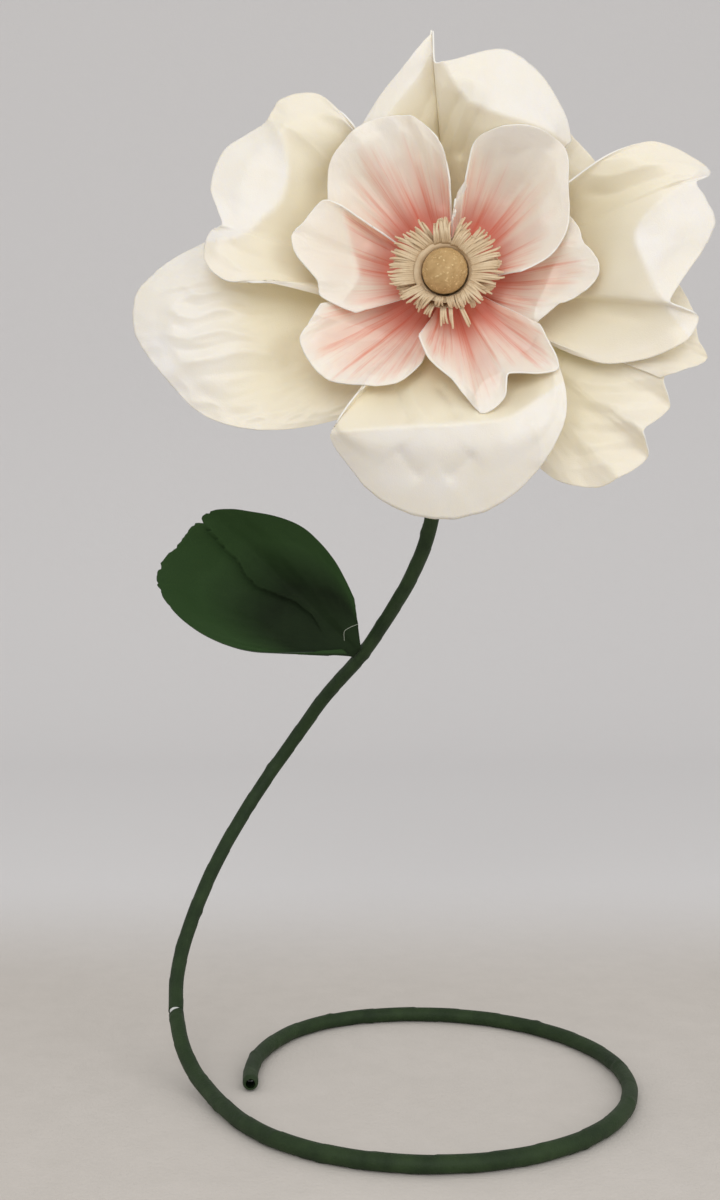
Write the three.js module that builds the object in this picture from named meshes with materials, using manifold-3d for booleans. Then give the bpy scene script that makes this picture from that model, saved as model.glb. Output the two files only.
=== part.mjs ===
// A giant craft flower on a floor stand: one open bloom, one leaf, and one bent stem that coils
// into its own foot. Millimetres, +Z up. The origin is the middle of the footprint, on the floor.

import * as THREE from 'three';
import { mergeVertices } from 'three/addons/utils/BufferGeometryUtils.js';
import Module from 'manifold-3d';

const wasm = await Module();
wasm.setup();

// Gap that touching pieces keep
const CLEARANCE = 0.3;

// Stem: a bendable hollow pipe inside a green wrap
const PIPE_DIAMETER = 16;
const PIPE_WALL = 2;
const WRAP_THICKNESS = 1.7;
const TUBE_SIDES = 10;
const TUBE_STEP = 50;
const ROUTE_SAMPLES = 3000;

// Floor ring that the lower end of the stem is coiled into
const RING_RADIUS = 256;
const RING_FIRST_ANGLE = 97;
const RING_LAST_ANGLE = -150;
const RING_POINT_EVERY = 13;

// Free end of the ring: angle in degrees and how far inside the ring it lies
const TAIL = [[186, 41], [165, 33], [147, 21], [134, 10], [122, 3], [110, 0]];

// Route of the stem, measured from where it leaves the ring
const STEM = [
  [-35, 62, 4], [-60, 108, 11], [-78, 143, 27], [-92, 180, 46], [-100, 218, 66], [-103, 250, 90],
  [-101, 278, 115], [-86, 333, 168], [-63, 383, 222], [-31, 426, 279], [7, 453, 337],
  [51, 450, 399], [95, 416, 461], [144, 366, 518], [184, 308, 579], [216, 243, 638],
  [236, 190, 698], [244, 178, 758], [251, 180, 820], [256, 190, 880], [258, 186, 935],
  [258, 164, 974], [257, 130, 994],
];

// Heights on the stem of the leaf's root and of the break in the wrap, and how long that break is
const LEAF_HEIGHT = 528;
const WRAP_BREAK_HEIGHT = 71;
const WRAP_BREAK = 7;

// Bloom: which way it faces, and how far its middle stands in front of the stem's last bend
const BLOOM_TURN = 7;
const BLOOM_NOD = 4;
const BLOOM_REACH = 80;

// Hub that every petal is glued to, heights measured along the bloom's own axis. The margin is how
// far outside the hub's edge the petals are still kept in front of it.
const HUB_RADIUS = 62;
const HUB_THICKNESS = 6;
const HUB_FRONT = -40;
const HUB_SIDES = 24;
const HUB_MARGIN = 34;
const SOCKET_RADIUS = 18;
const SOCKET_LENGTH = 28;
const SOCKET_FLOOR = 4;
const POST_RADIUS = 13;

// Ball in the middle of the bloom, and how far its own middle stands in front of the hub
const BALL_RADIUS = 27.5;
const BALL_RISE = 72;
const BALL_HEIGHT = HUB_FRONT + BALL_RISE;
const BALL_SEAT_RADIUS = 12;
const BALL_BANDS = 9;
const BALL_SIDES = 18;

// Fringed cups round the ball, one inside the other
const BALL_MARGIN = 4.5;
const FRINGE_WALL = 2;
const FRINGE_GAP = 2;
const FRINGE_STEP = 10;
const FRINGE_RISE = 34;
const FRINGE_DEPTH = 36;
const INNER_FRINGE = {
  radius: BALL_RADIUS + BALL_MARGIN + FRINGE_WALL,
  floor: HUB_FRONT + FRINGE_RISE,
  top: HUB_FRONT + FRINGE_RISE + FRINGE_DEPTH,
  reach: 33,
  droop: 0,
};
const OUTER_FRINGE = {
  radius: INNER_FRINGE.radius + FRINGE_GAP + FRINGE_WALL,
  floor: INNER_FRINGE.floor - FRINGE_GAP - FRINGE_WALL,
  top: INNER_FRINGE.top - FRINGE_STEP,
  reach: 36,
  droop: 1,
};

// Strands of a fringe: how far one is glued down its cup, how high it arches and at which share of
// its reach, and how much each differs from the next
const STRANDS = 22;
const STRAND_WIDTH = 3.4;
const STRAND_GLUED = 7;
const STRAND_ARCH = 4;
const STRAND_ARCH_AT = 0.45;
const STRAND_STEPS = 3;
const STRAND_CHANGES = {
  reach: { amount: 0.18, every: 2.4 },
  lift: { amount: 1.5, every: 3.7 },
  sway: { amount: 0.06, every: 5.1 },
};

// Petals and leaf. The leaf's seat is the glue under its root, where it lies on the wrap.
const PETAL_THICKNESS = 2;
const PETAL_GAP = 0.8;
const PETAL_STEEPEST = 0.45;
const LIFT_SLOPE = 0.35;
const OUTER_ROOT_RADIUS = 22;
const INNER_ROOT_RADIUS = 17;
const PETAL_ROWS = 7;
const LEAF_THICKNESS = 1.5;
const LEAF_SEAT = 0.6;
const LEAF_WIRE_DIAMETER = 3;

const TUBE_RADIUS = PIPE_DIAMETER / 2 + CLEARANCE + WRAP_THICKNESS;
const radians = THREE.MathUtils.degToRad;

// Each petal lists its ribs clockwise, seen from the front. A rib is the rim point x, y, z, the
// share of the way out at which its lip folds over, and the height of that fold.
const OUTER_PETALS = [
  {
    name: 'outer_petal_lower_right', toward: 318, spread: 40, belly: 14,
    ribs: [
      [236, -72, -12, 0.8, -18], [264, -104, -8, 0.8, -10], [256, -132, 14, 0.8, -2],
      [265, -162, -4, 0.8, 0], [232, -190, 24, 0.8, 4], [240, -221, -4, 0.8, 2],
      [206, -244, 14, 0.8, 0], [180, -256, 0, 0.8, -4], [132, -246, -8, 0.8, -8],
      [92, -212, -14, 0.8, -14],
    ],
  },
  {
    name: 'outer_petal_left', toward: 193, spread: 42, belly: 16,
    ribs: [
      [-96, -158, -6, 0.8, -8], [-167, -177, 4, 0.85, 0], [-234, -181, 20, 0.85, 8],
      [-301, -160, 18, 0.85, 18], [-346, -113, 24, 0.82, 30], [-382, -63, 14, 0.8, 30],
      [-380, -14, 14, 0.8, 26], [-343, 22, 10, 0.8, 16], [-290, 52, 0, 0.8, 2],
    ],
  },
  {
    name: 'outer_petal_right', toward: 352, spread: 34, belly: 10,
    ribs: [
      [190, 44, -20, 0.8, -20], [232, 36, -16, 0.8, -16], [272, -12, -6, 0.85, -8],
      [292, -54, 0, 0.85, -2], [297, -86, 2, 0.85, 0], [308, -106, -8, 0.85, -2],
      [284, -117, 6, 0.85, -6], [250, -128, -8, 0.8, -14],
    ],
  },
  {
    name: 'outer_petal_top_right', toward: 58, spread: 34, belly: 10,
    ribs: [
      [44, 190, -14, 0.8, -18], [74, 214, -8, 0.8, -12], [112, 208, -6, 0.8, -8],
      [150, 160, -6, 0.8, -10], [176, 130, -2, 0.8, -8], [206, 98, -12, 0.8, -16],
      [196, 66, -18, 0.8, -20],
    ],
  },
  {
    name: 'outer_petal_top', toward: 84, spread: 44, belly: 26,
    ribs: [
      [-101, 166, 30, 0.8, 26], [-70, 206, 44, 0.8, 34], [-37, 240, 50, 0.8, 34],
      [-8, 275, 36, 0.8, 34], [-9, 229, 56, 0.85, 36], [31, 239, 56, 0.82, 54],
      [76, 246, 44, 0.68, 62], [116, 214, 38, 0.72, 60], [141, 172, 32, 0.82, 46],
      [147, 144, 18, 0.8, 22],
    ],
  },
  {
    name: 'outer_petal_upper_left', toward: 152, spread: 46, belly: 22,
    ribs: [
      [-150, -22, 18, 0.8, 10], [-215, -9, 52, 0.8, 34], [-256, -8, 60, 0.8, 44],
      [-284, 18, 50, 0.8, 46], [-281, 54, 36, 0.8, 40], [-263, 60, 44, 0.85, 34],
      [-280, 104, 34, 0.8, 36], [-263, 154, 26, 0.8, 34], [-212, 182, 20, 0.85, 28],
      [-196, 208, 26, 0.8, 30], [-148, 211, 28, 0.8, 28], [-107, 170, 28, 0.8, 18],
    ],
  },
  {
    name: 'outer_petal_upper_right', toward: 8, spread: 44, belly: 26,
    ribs: [
      [143, 92, 46, 0.85, 34], [189, 120, 56, 0.85, 44], [238, 135, 50, 0.8, 54],
      [280, 121, 36, 0.8, 56], [308, 103, 18, 0.78, 58], [287, 88, 44, 0.8, 54],
      [311, 50, 36, 0.75, 58], [297, 12, 36, 0.76, 56], [258, -46, 52, 0.8, 42],
      [293, -60, 28, 0.82, 36], [276, -90, 34, 0.8, 24], [190, -110, 14, 0.8, 4],
      [126, -86, -4, 0.8, -8],
    ],
  },
  {
    name: 'outer_petal_bottom', toward: 273, spread: 44, belly: 24,
    ribs: [
      [122, -84, 26, 0.85, 16], [140, -140, 50, 0.85, 40], [139, -180, 56, 0.85, 54],
      [116, -225, 52, 0.8, 64], [70, -274, 36, 0.67, 70], [-2, -294, 26, 0.62, 72],
      [-73, -273, 30, 0.67, 72], [-118, -224, 42, 0.82, 68], [-133, -190, 54, 0.88, 62],
      [-98, -174, 62, 0.88, 50], [-88, -136, 48, 0.85, 36],
    ],
  },
];

const INNER_PETALS = [
  {
    name: 'inner_petal_right', toward: 352, spread: 38, belly: 16,
    ribs: [
      [138, 66, 26, 0.8, 14], [152, 52, 30, 0.8, 20], [161, 28, 38, 0.8, 24],
      [177, 6, 44, 0.8, 26], [176, -14, 44, 0.8, 26], [157, -32, 38, 0.8, 22],
      [131, -43, 32, 0.8, 18], [104, -64, 22, 0.8, 10],
    ],
  },
  {
    name: 'inner_petal_top_right', toward: 48, spread: 42, belly: 18,
    ribs: [
      [14, 72, 8, 0.8, 2], [14, 92, 18, 0.8, 8], [27, 108, 32, 0.8, 18],
      [38, 145, 50, 0.85, 32], [77, 155, 54, 0.85, 38], [114, 149, 50, 0.85, 38],
      [139, 132, 48, 0.85, 38], [143, 90, 44, 0.85, 34], [142, 44, 44, 0.85, 28],
      [122, 14, 38, 0.85, 20], [88, -2, 24, 0.85, 10],
    ],
  },
  {
    name: 'inner_petal_lower_left', toward: 222, spread: 40, belly: 14,
    ribs: [
      [-28, -104, 24, 0.8, 10], [-58, -130, 34, 0.82, 18], [-100, -132, 38, 0.82, 22],
      [-138, -125, 40, 0.82, 26], [-157, -108, 44, 0.82, 28], [-171, -78, 48, 0.82, 30],
      [-160, -56, 42, 0.82, 26], [-146, -34, 36, 0.82, 20],
    ],
  },
  {
    name: 'inner_petal_top_left', toward: 110, spread: 42, belly: 18,
    ribs: [
      [-138, 86, 30, 0.82, 18], [-135, 126, 38, 0.84, 26], [-118, 151, 44, 0.84, 30],
      [-93, 170, 46, 0.84, 32], [-66, 177, 46, 0.84, 32], [-38, 176, 46, 0.84, 32],
      [-17, 162, 44, 0.84, 30], [-2, 140, 38, 0.84, 24], [5, 106, 26, 0.82, 14],
    ],
  },
  {
    name: 'inner_petal_bottom', toward: 294, spread: 42, belly: 12,
    ribs: [
      [110, -64, 34, 0.82, 20], [122, -90, 46, 0.82, 28], [132, -118, 50, 0.82, 34],
      [106, -123, 60, 0.85, 38], [74, -124, 60, 0.85, 38], [70, -151, 54, 0.8, 44],
      [46, -170, 42, 0.8, 44], [30, -156, 44, 0.8, 40], [10, -128, 46, 0.82, 32],
      [-17, -103, 44, 0.82, 24], [-31, -74, 28, 0.8, 10],
    ],
  },
  {
    name: 'inner_petal_left', toward: 170, spread: 40, belly: 14,
    ribs: [
      [-106, -44, 24, 0.8, 8], [-146, -26, 40, 0.84, 24], [-150, -8, 46, 0.84, 30],
      [-172, 20, 52, 0.84, 34], [-179, 42, 52, 0.84, 36], [-167, 56, 50, 0.84, 34],
      [-140, 84, 42, 0.84, 26], [-96, 60, 26, 0.82, 12],
    ],
  },
];

// Leaf, in its own frame at the stem: x right, y up, z forward. Its root lies along the stem for
// a short way, turned round from the stem's front towards its left side.
const LEAF = {
  ribs: [
    [-24, 11, 18, 0.7, 16], [-82, 9, 34, 0.75, 26], [-154, 11, 46, 0.75, 36],
    [-213, 31, 54, 0.75, 40], [-262, 70, 58, 0.75, 38], [-285, 118, 54, 0.75, 28],
    [-252, 166, 40, 0.75, 16], [-212, 206, 36, 0.75, 12], [-154, 206, 42, 0.75, 28],
    [-84, 186, 40, 0.75, 32], [-36, 138, 32, 0.75, 28], [-8, 84, 24, 0.75, 22],
  ],
  rootFrom: 0,
  rootTo: 22,
  rootTurn: 35,
  belly: 2,
};

// Wire glued behind the leaf's fold, from its foot on the stem to its end, in the leaf's frame. It
// lies a little further back than its radius, because the leaf slopes.
const LEAF_WIRE = { from: [-34, 40], to: [-176, 158], points: 7, steps: 14, sides: 6 };
const WIRE_SETBACK = 1.6;

function plainMaterial(color, roughness, metalness = 0) {
  return new THREE.MeshStandardMaterial({ color, roughness, metalness, side: THREE.DoubleSide });
}

const petalCream = plainMaterial(0xf3ecdc, 0.55);
const petalBlush = plainMaterial(0xf0ddd0, 0.55);
const stamenBeige = plainMaterial(0xd8c3a0, 0.7);
const ballGold = plainMaterial(0x9c7a45, 0.6);
const stemGreen = plainMaterial(0x24472c, 0.7);
const leafGreen = plainMaterial(0x1d3a22, 0.7);
const pipeWhite = plainMaterial(0xe8e8e4, 0.4);
const hubWhite = plainMaterial(0xe9e2d2, 0.7);
const wireGreen = plainMaterial(0x2c4a30, 0.6);

// Keeps only the points, merges the shared ones and turns the faces outward
function closedGeometry(geometry) {
  let plain = geometry.clone();
  plain.deleteAttribute('normal');
  plain.deleteAttribute('uv');
  plain = mergeVertices(plain, 1e-4);
  const position = plain.getAttribute('position');
  const index = Array.from(plain.getIndex().array);
  const corner = (k) => new THREE.Vector3().fromBufferAttribute(position, index[k]);
  const kept = [];
  let volume = 0;
  for (let k = 0; k < index.length; k += 3) {
    const [a, b, c] = [index[k], index[k + 1], index[k + 2]];
    if (a === b || b === c || c === a) continue;
    kept.push(a, b, c);
    volume += corner(k).dot(corner(k + 1).cross(corner(k + 2)));
  }
  if (volume < 0) kept.reverse();
  plain.setIndex(kept);
  return plain;
}

function toManifold(geometry) {
  const plain = closedGeometry(geometry);
  const vertProperties = new Float32Array(plain.getAttribute('position').array);
  const triVerts = new Uint32Array(plain.getIndex().array);
  return new wasm.Manifold(new wasm.Mesh({ numProp: 3, vertProperties, triVerts }));
}

function joined(geometries) {
  let solid = toManifold(geometries[0]);
  for (const next of geometries.slice(1)) solid = solid.add(toManifold(next));
  const mesh = solid.getMesh();
  const geometry = new THREE.BufferGeometry();
  geometry.setAttribute('position', new THREE.BufferAttribute(mesh.vertProperties, 3));
  geometry.setIndex(Array.from(mesh.triVerts));
  return geometry;
}

function part(name, geometry, material) {
  const mesh = new THREE.Mesh(closedGeometry(geometry), material);
  mesh.geometry.computeVertexNormals();
  mesh.name = name;
  return mesh;
}

// A stretch of the stem's route, with the same points and turns for every tube that follows it
class Stretch extends THREE.Curve {
  constructor(stations) {
    super();
    this.stations = stations;
  }

  getSpacedPoints() {
    return this.stations.map((station) => station.point);
  }

  computeFrenetFrames() {
    return {
      tangents: this.stations.map((station) => station.tangent),
      normals: this.stations.map((station) => station.normal),
      binormals: this.stations.map((station) => station.binormal),
    };
  }
}

function polygonPath(Path, flatRadius, sides) {
  const cornerRadius = flatRadius / Math.cos(Math.PI / sides);
  const outline = new Path();
  for (let k = 0; k <= sides; k += 1) {
    const angle = ((k % sides) + 0.5) * 2 * Math.PI / sides;
    const [x, y] = [cornerRadius * Math.cos(angle), cornerRadius * Math.sin(angle)];
    if (k === 0) outline.moveTo(x, y);
    else outline.lineTo(x, y);
  }
  return outline;
}

// Hollow tube along a stretch, with a flat side turned to the floor
function hollowTube(stations, outerRadius, innerRadius) {
  const section = polygonPath(THREE.Shape, outerRadius, TUBE_SIDES);
  section.holes.push(polygonPath(THREE.Path, innerRadius, TUBE_SIDES));
  return new THREE.ExtrudeGeometry(section, {
    steps: stations.length - 1,
    extrudePath: new Stretch(stations),
  });
}

function onRing(angle, inset = 0) {
  const radius = RING_RADIUS - inset;
  const turn = radians(angle);
  return new THREE.Vector3(radius * Math.cos(turn), radius * Math.sin(turn), TUBE_RADIUS);
}

// Bloom's own frame: x to its right, y up, z out of its face
function bloomAxes() {
  const [turn, nod] = [radians(BLOOM_TURN), radians(BLOOM_NOD)];
  const out = new THREE.Vector3(
    -Math.sin(turn) * Math.cos(nod), -Math.cos(turn) * Math.cos(nod), -Math.sin(nod),
  );
  const right = new THREE.Vector3(Math.cos(turn), -Math.sin(turn), 0);
  const up = new THREE.Vector3().crossVectors(out, right);
  return { right, up, out };
}

const bloom = bloomAxes();
const stemFoot = onRing(RING_LAST_ANGLE);
const stemPoints = STEM.map((offset) => new THREE.Vector3(...offset).add(stemFoot));
const lastBend = stemPoints[stemPoints.length - 1];
const bloomCentre = lastBend.clone().addScaledVector(bloom.out, BLOOM_REACH);

const hubBack = HUB_FRONT - HUB_THICKNESS;
const socketMouth = hubBack - SOCKET_LENGTH;
const socketEnd = hubBack - SOCKET_FLOOR;

function onBloomAxis(height) {
  return bloomCentre.clone().addScaledVector(bloom.out, height);
}

function stemRoute() {
  const points = TAIL.map(([angle, inset]) => onRing(angle, inset));
  const turns = Math.round((RING_FIRST_ANGLE - RING_LAST_ANGLE) / RING_POINT_EVERY);
  for (let k = 0; k <= turns; k += 1) {
    points.push(onRing(THREE.MathUtils.lerp(RING_FIRST_ANGLE, RING_LAST_ANGLE, k / turns)));
  }
  points.push(...stemPoints);
  points.push(onBloomAxis(socketMouth - CLEARANCE), onBloomAxis(socketEnd - CLEARANCE));
  const route = new THREE.CatmullRomCurve3(points, false, 'centripetal');
  route.arcLengthDivisions = ROUTE_SAMPLES;
  route.updateArcLengths();
  return route;
}

// Share of the route's length at which it first rises to a height above the floor
function shareAtHeight(route, height) {
  const points = route.getSpacedPoints(ROUTE_SAMPLES);
  const above = points.findIndex((point) => point.z >= height);
  const [low, high] = [points[above - 1].z, points[above].z];
  return (above - 1 + (height - low) / (high - low)) / ROUTE_SAMPLES;
}

// Stations with a frame that never twists, starting with its normal straight down. The floor
// keeps the route from dipping where it starts to climb.
function stationsAlong(route, distances) {
  const length = route.getLength();
  const normal = new THREE.Vector3(0, 0, -1);
  return distances.map((distance) => {
    const share = Math.min(distance / length, 1);
    const tangent = route.getTangentAt(share).normalize();
    normal.addScaledVector(tangent, -tangent.dot(normal)).normalize();
    const binormal = new THREE.Vector3().crossVectors(tangent, normal);
    const point = route.getPointAt(share);
    point.z = Math.max(point.z, TUBE_RADIUS);
    return { point, tangent, normal: normal.clone(), binormal };
  });
}

function evenly(from, to, step) {
  const count = Math.max(1, Math.round((to - from) / step));
  return Array.from({ length: count + 1 }, (_, k) => THREE.MathUtils.lerp(from, to, k / count));
}

function addStem(group, route) {
  const length = route.getLength();
  const middle = shareAtHeight(route, WRAP_BREAK_HEIGHT) * length;
  const mouth = length - (socketEnd - socketMouth);
  const lower = evenly(0, middle - WRAP_BREAK / 2, TUBE_STEP);
  const upper = evenly(middle + WRAP_BREAK / 2, mouth, TUBE_STEP);
  const stations = stationsAlong(route, [...lower, ...upper, length]);
  const wrapInner = PIPE_DIAMETER / 2 + CLEARANCE;
  const lowerStations = stations.slice(0, lower.length);
  const upperStations = stations.slice(lower.length, lower.length + upper.length);
  const pipe = hollowTube(stations, PIPE_DIAMETER / 2, PIPE_DIAMETER / 2 - PIPE_WALL);
  group.add(part('core_pipe', pipe, pipeWhite));
  group.add(part('lower_wrap', hollowTube(lowerStations, TUBE_RADIUS, wrapInner), stemGreen));
  group.add(part('upper_wrap', hollowTube(upperStations, TUBE_RADIUS, wrapInner), stemGreen));
}

// A turned piece about the bloom's axis, from its profile of radius and height
function turned(profile, sides) {
  const points = profile.map(([radius, height]) => new THREE.Vector2(radius, height));
  return new THREE.LatheGeometry(points, sides).rotateX(Math.PI / 2);
}

// Height of the flat on the underside of the ball, where it sits on the hub's post
const ballSeat = BALL_HEIGHT - Math.sqrt(BALL_RADIUS ** 2 - BALL_SEAT_RADIUS ** 2);

function hubGeometry() {
  const pipeCorner = PIPE_DIAMETER / 2 / Math.cos(Math.PI / TUBE_SIDES);
  const bore = (pipeCorner + CLEARANCE) / Math.cos(Math.PI / HUB_SIDES);
  return turned([
    [0, socketEnd], [bore, socketEnd], [bore, socketMouth], [SOCKET_RADIUS, socketMouth],
    [HUB_RADIUS, hubBack], [HUB_RADIUS, HUB_FRONT], [POST_RADIUS, HUB_FRONT],
    [POST_RADIUS, ballSeat - CLEARANCE], [0, ballSeat - CLEARANCE],
  ], HUB_SIDES);
}

function ballGeometry() {
  const first = -Math.acos(BALL_SEAT_RADIUS / BALL_RADIUS);
  const profile = [[0, ballSeat]];
  for (let k = 0; k < BALL_BANDS; k += 1) {
    const angle = THREE.MathUtils.lerp(first, Math.PI / 2, k / BALL_BANDS);
    profile.push([BALL_RADIUS * Math.cos(angle), BALL_HEIGHT + BALL_RADIUS * Math.sin(angle)]);
  }
  profile.push([0, BALL_HEIGHT + BALL_RADIUS]);
  return turned(profile, BALL_SIDES);
}

// How much a strand differs from the next one, between its amount to either side of nothing
function changeOf({ amount, every }, index) {
  return amount * Math.sin(index * every);
}

// One bent strand of a fringe, standing on the cup's edge and lying over outward
function strandGeometry(fringe, index) {
  const angle = 2 * Math.PI * (index + 0.5) / STRANDS;
  const shorter = STRAND_CHANGES.reach.amount - changeOf(STRAND_CHANGES.reach, index);
  const reach = fringe.reach * (1 - shorter);
  const lift = changeOf(STRAND_CHANGES.lift, index);
  const sway = changeOf(STRAND_CHANGES.sway, index);
  const wall = fringe.radius - FRINGE_WALL / 2;
  const spine = [
    [wall, fringe.top - STRAND_GLUED, 0], [wall + FRINGE_WALL / 2, fringe.top, 0],
    [wall + reach * STRAND_ARCH_AT, fringe.top + STRAND_ARCH + lift, sway],
    [wall + reach, fringe.top - fringe.droop + lift, sway],
  ].map(([radius, height, turn]) => new THREE.Vector3(
    radius * Math.cos(angle + turn), radius * Math.sin(angle + turn), height,
  ));
  return new THREE.ExtrudeGeometry(polygonPath(THREE.Shape, STRAND_WIDTH / 2, 4), {
    steps: STRAND_STEPS,
    extrudePath: new THREE.CatmullRomCurve3(spine),
  });
}

function fringeGeometry(fringe) {
  const hole = (POST_RADIUS + CLEARANCE) / Math.cos(Math.PI / HUB_SIDES);
  const inside = fringe.radius - FRINGE_WALL;
  const cup = turned([
    [hole, fringe.floor], [fringe.radius, fringe.floor], [fringe.radius, fringe.top],
    [inside, fringe.top], [inside, fringe.floor + FRINGE_WALL],
    [hole, fringe.floor + FRINGE_WALL], [hole, fringe.floor],
  ], HUB_SIDES);
  const strands = Array.from({ length: STRANDS }, (_, k) => strandGeometry(fringe, k));
  return joined([cup, ...strands]);
}

// Rows and columns of points over a petal or leaf, from its root line out to its rim
function sheetNet(ribs, rootAt, belly, thickness) {
  const spines = ribs.map(([x, y, z, share, foldHeight], k) => {
    const root = rootAt(k / (ribs.length - 1));
    const rim = new THREE.Vector3(x, y, z);
    const fold = root.clone().lerp(rim, share).setZ(foldHeight);
    const middle = root.clone().lerp(fold, 0.5);
    middle.z -= belly;
    return new THREE.CatmullRomCurve3([root, middle, fold, rim], false, 'centripetal');
  });
  const columns = 2 * (ribs.length - 1);
  const rows = [];
  for (let j = 0; j <= PETAL_ROWS; j += 1) {
    const line = new THREE.CatmullRomCurve3(
      spines.map((spine) => spine.getPoint(j / PETAL_ROWS)), false, 'centripetal',
    );
    rows.push(Array.from({ length: columns + 1 }, (_, i) => line.getPoint(i / columns)));
  }
  const drops = rows.map((row, j) => row.map((_, i) => thickness / steepness(rows, j, i)));
  return { rows, drops, columns, triangles: netTriangles(rows) };
}

// How nearly a net faces forward at one of its points: 1 flat on, less where it is steep
function steepness(rows, j, i) {
  const along = rows[j][Math.min(i + 1, rows[j].length - 1)].clone()
    .sub(rows[j][Math.max(i - 1, 0)]);
  const outward = rows[Math.min(j + 1, rows.length - 1)][i].clone()
    .sub(rows[Math.max(j - 1, 0)][i]);
  const normal = along.cross(outward).normalize();
  return Math.max(Math.abs(normal.z), PETAL_STEEPEST);
}

// The two triangles of each cell of a net, as row and column pairs
function netTriangles(rows) {
  const triangles = [];
  for (let j = 0; j + 1 < rows.length; j += 1) {
    for (let i = 0; i + 1 < rows[j].length; i += 1) {
      triangles.push([[j, i], [j, i + 1], [j + 1, i]], [[j, i + 1], [j + 1, i + 1], [j + 1, i]]);
    }
  }
  return triangles;
}

// Weights of a plan point in a triangle, or null where it lies outside
function planWeights(a, b, c, x, y) {
  if (x < Math.min(a.x, b.x, c.x) || x > Math.max(a.x, b.x, c.x)) return null;
  if (y < Math.min(a.y, b.y, c.y) || y > Math.max(a.y, b.y, c.y)) return null;
  const area = (b.x - a.x) * (c.y - a.y) - (c.x - a.x) * (b.y - a.y);
  if (Math.abs(area) < 1e-9) return null;
  const v = ((x - a.x) * (c.y - a.y) - (c.x - a.x) * (y - a.y)) / area;
  const w = ((b.x - a.x) * (y - a.y) - (x - a.x) * (b.y - a.y)) / area;
  const slack = -1e-6;
  return v >= slack && w >= slack && v + w <= 1 - slack ? [1 - v - w, v, w] : null;
}

function cellsAt(net, x, y) {
  const hits = [];
  for (const triangle of net.triangles) {
    const [a, b, c] = triangle;
    const weights = planWeights(
      net.rows[a[0]][a[1]], net.rows[b[0]][b[1]], net.rows[c[0]][c[1]], x, y,
    );
    if (weights) hits.push({ triangle, weights });
  }
  return hits;
}

// Places spread over a triangle: its corners, points along its edges, and its middle
const SAMPLE_WEIGHTS = [[1, 0, 0], [0, 1, 0], [0, 0, 1], [1 / 3, 1 / 3, 1 / 3]];
for (const share of [0.2, 0.4, 0.6, 0.8]) {
  SAMPLE_WEIGHTS.push([share, 1 - share, 0], [0, share, 1 - share], [1 - share, 0, share]);
}

function netSamples(net) {
  return net.triangles.flatMap((triangle) => SAMPLE_WEIGHTS.map((weights) => {
    const place = { triangle, weights, x: 0, y: 0 };
    triangle.forEach(([j, i], k) => {
      place.x += weights[k] * net.rows[j][i].x;
      place.y += weights[k] * net.rows[j][i].y;
    });
    return place;
  }));
}

function frontHeight(net, hit) {
  return hit.triangle.reduce((sum, [j, i], k) => sum + hit.weights[k] * net.rows[j][i].z, 0);
}

function backHeight(net, hit) {
  return hit.triangle.reduce(
    (sum, [j, i], k) => sum + hit.weights[k] * (net.rows[j][i].z - net.drops[j][i]), 0,
  );
}

// Lifts a petal just clear of the hub and of the petals behind it, in one smooth ramp
function layOver(net, behind) {
  const needs = net.rows.map((row) => row.map(() => 0));
  const ask = (j, i, amount) => {
    needs[j][i] = Math.max(needs[j][i], amount);
  };
  for (const over of netSamples(net)) {
    if (Math.hypot(over.x, over.y) > HUB_RADIUS + HUB_MARGIN) continue;
    const amount = HUB_FRONT + CLEARANCE - backHeight(net, over);
    for (const [j, i] of over.triangle) ask(j, i, amount);
  }
  for (const other of behind) {
    for (const under of netSamples(other)) {
      for (const over of cellsAt(net, under.x, under.y)) {
        const amount = frontHeight(other, under) + PETAL_GAP - backHeight(net, over);
        for (const [j, i] of over.triangle) ask(j, i, amount);
      }
    }
    for (const over of netSamples(net)) {
      for (const under of cellsAt(other, over.x, over.y)) {
        const amount = frontHeight(other, under) + PETAL_GAP - backHeight(net, over);
        for (const [j, i] of over.triangle) ask(j, i, amount);
      }
    }
  }
  const asked = [];
  needs.forEach((row, j) => row.forEach((amount, i) => {
    if (amount > 0) asked.push({ amount, at: net.rows[j][i].clone() });
  }));
  for (const point of net.rows.flat()) {
    let lift = 0;
    for (const { amount, at } of asked) {
      const away = Math.hypot(point.x - at.x, point.y - at.y);
      lift = Math.max(lift, amount - LIFT_SLOPE * away);
    }
    point.lifted = point.z + lift;
  }
  for (const point of net.rows.flat()) point.z = point.lifted;
}

// Closed shell of a net: its front, its back, and the cut edge between them
function sheetGeometry(net) {
  const width = net.columns + 1;
  const front = net.rows.flat();
  const back = net.rows.flatMap((row, j) => row.map((point, i) => (
    new THREE.Vector3(point.x, point.y, point.z - net.drops[j][i])
  )));
  const faces = [];
  for (const triangle of net.triangles) {
    const [a, b, c] = triangle.map(([j, i]) => j * width + i);
    faces.push(a, b, c, c + front.length, b + front.length, a + front.length);
  }
  const border = borderLoop(net.rows.length, width);
  border.forEach((a, k) => {
    const b = border[(k + 1) % border.length];
    faces.push(b, a, a + front.length, b, a + front.length, b + front.length);
  });
  const geometry = new THREE.BufferGeometry().setFromPoints([...front, ...back]);
  geometry.setIndex(faces);
  return geometry;
}

function borderLoop(rowCount, width) {
  const loop = [];
  for (let i = 0; i < width - 1; i += 1) loop.push(i);
  for (let j = 0; j < rowCount - 1; j += 1) loop.push(j * width + width - 1);
  for (let i = width - 1; i > 0; i -= 1) loop.push((rowCount - 1) * width + i);
  for (let j = rowCount - 1; j > 0; j -= 1) loop.push(j * width);
  return loop;
}

// Root line of a petal: an arc of the hub's front, run clockwise
function petalRoot(petal, radius) {
  return (share) => {
    const angle = radians(petal.toward + petal.spread * (1 - 2 * share));
    const height = HUB_FRONT + CLEARANCE + PETAL_THICKNESS;
    return new THREE.Vector3(radius * Math.cos(angle), radius * Math.sin(angle), height);
  };
}

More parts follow.
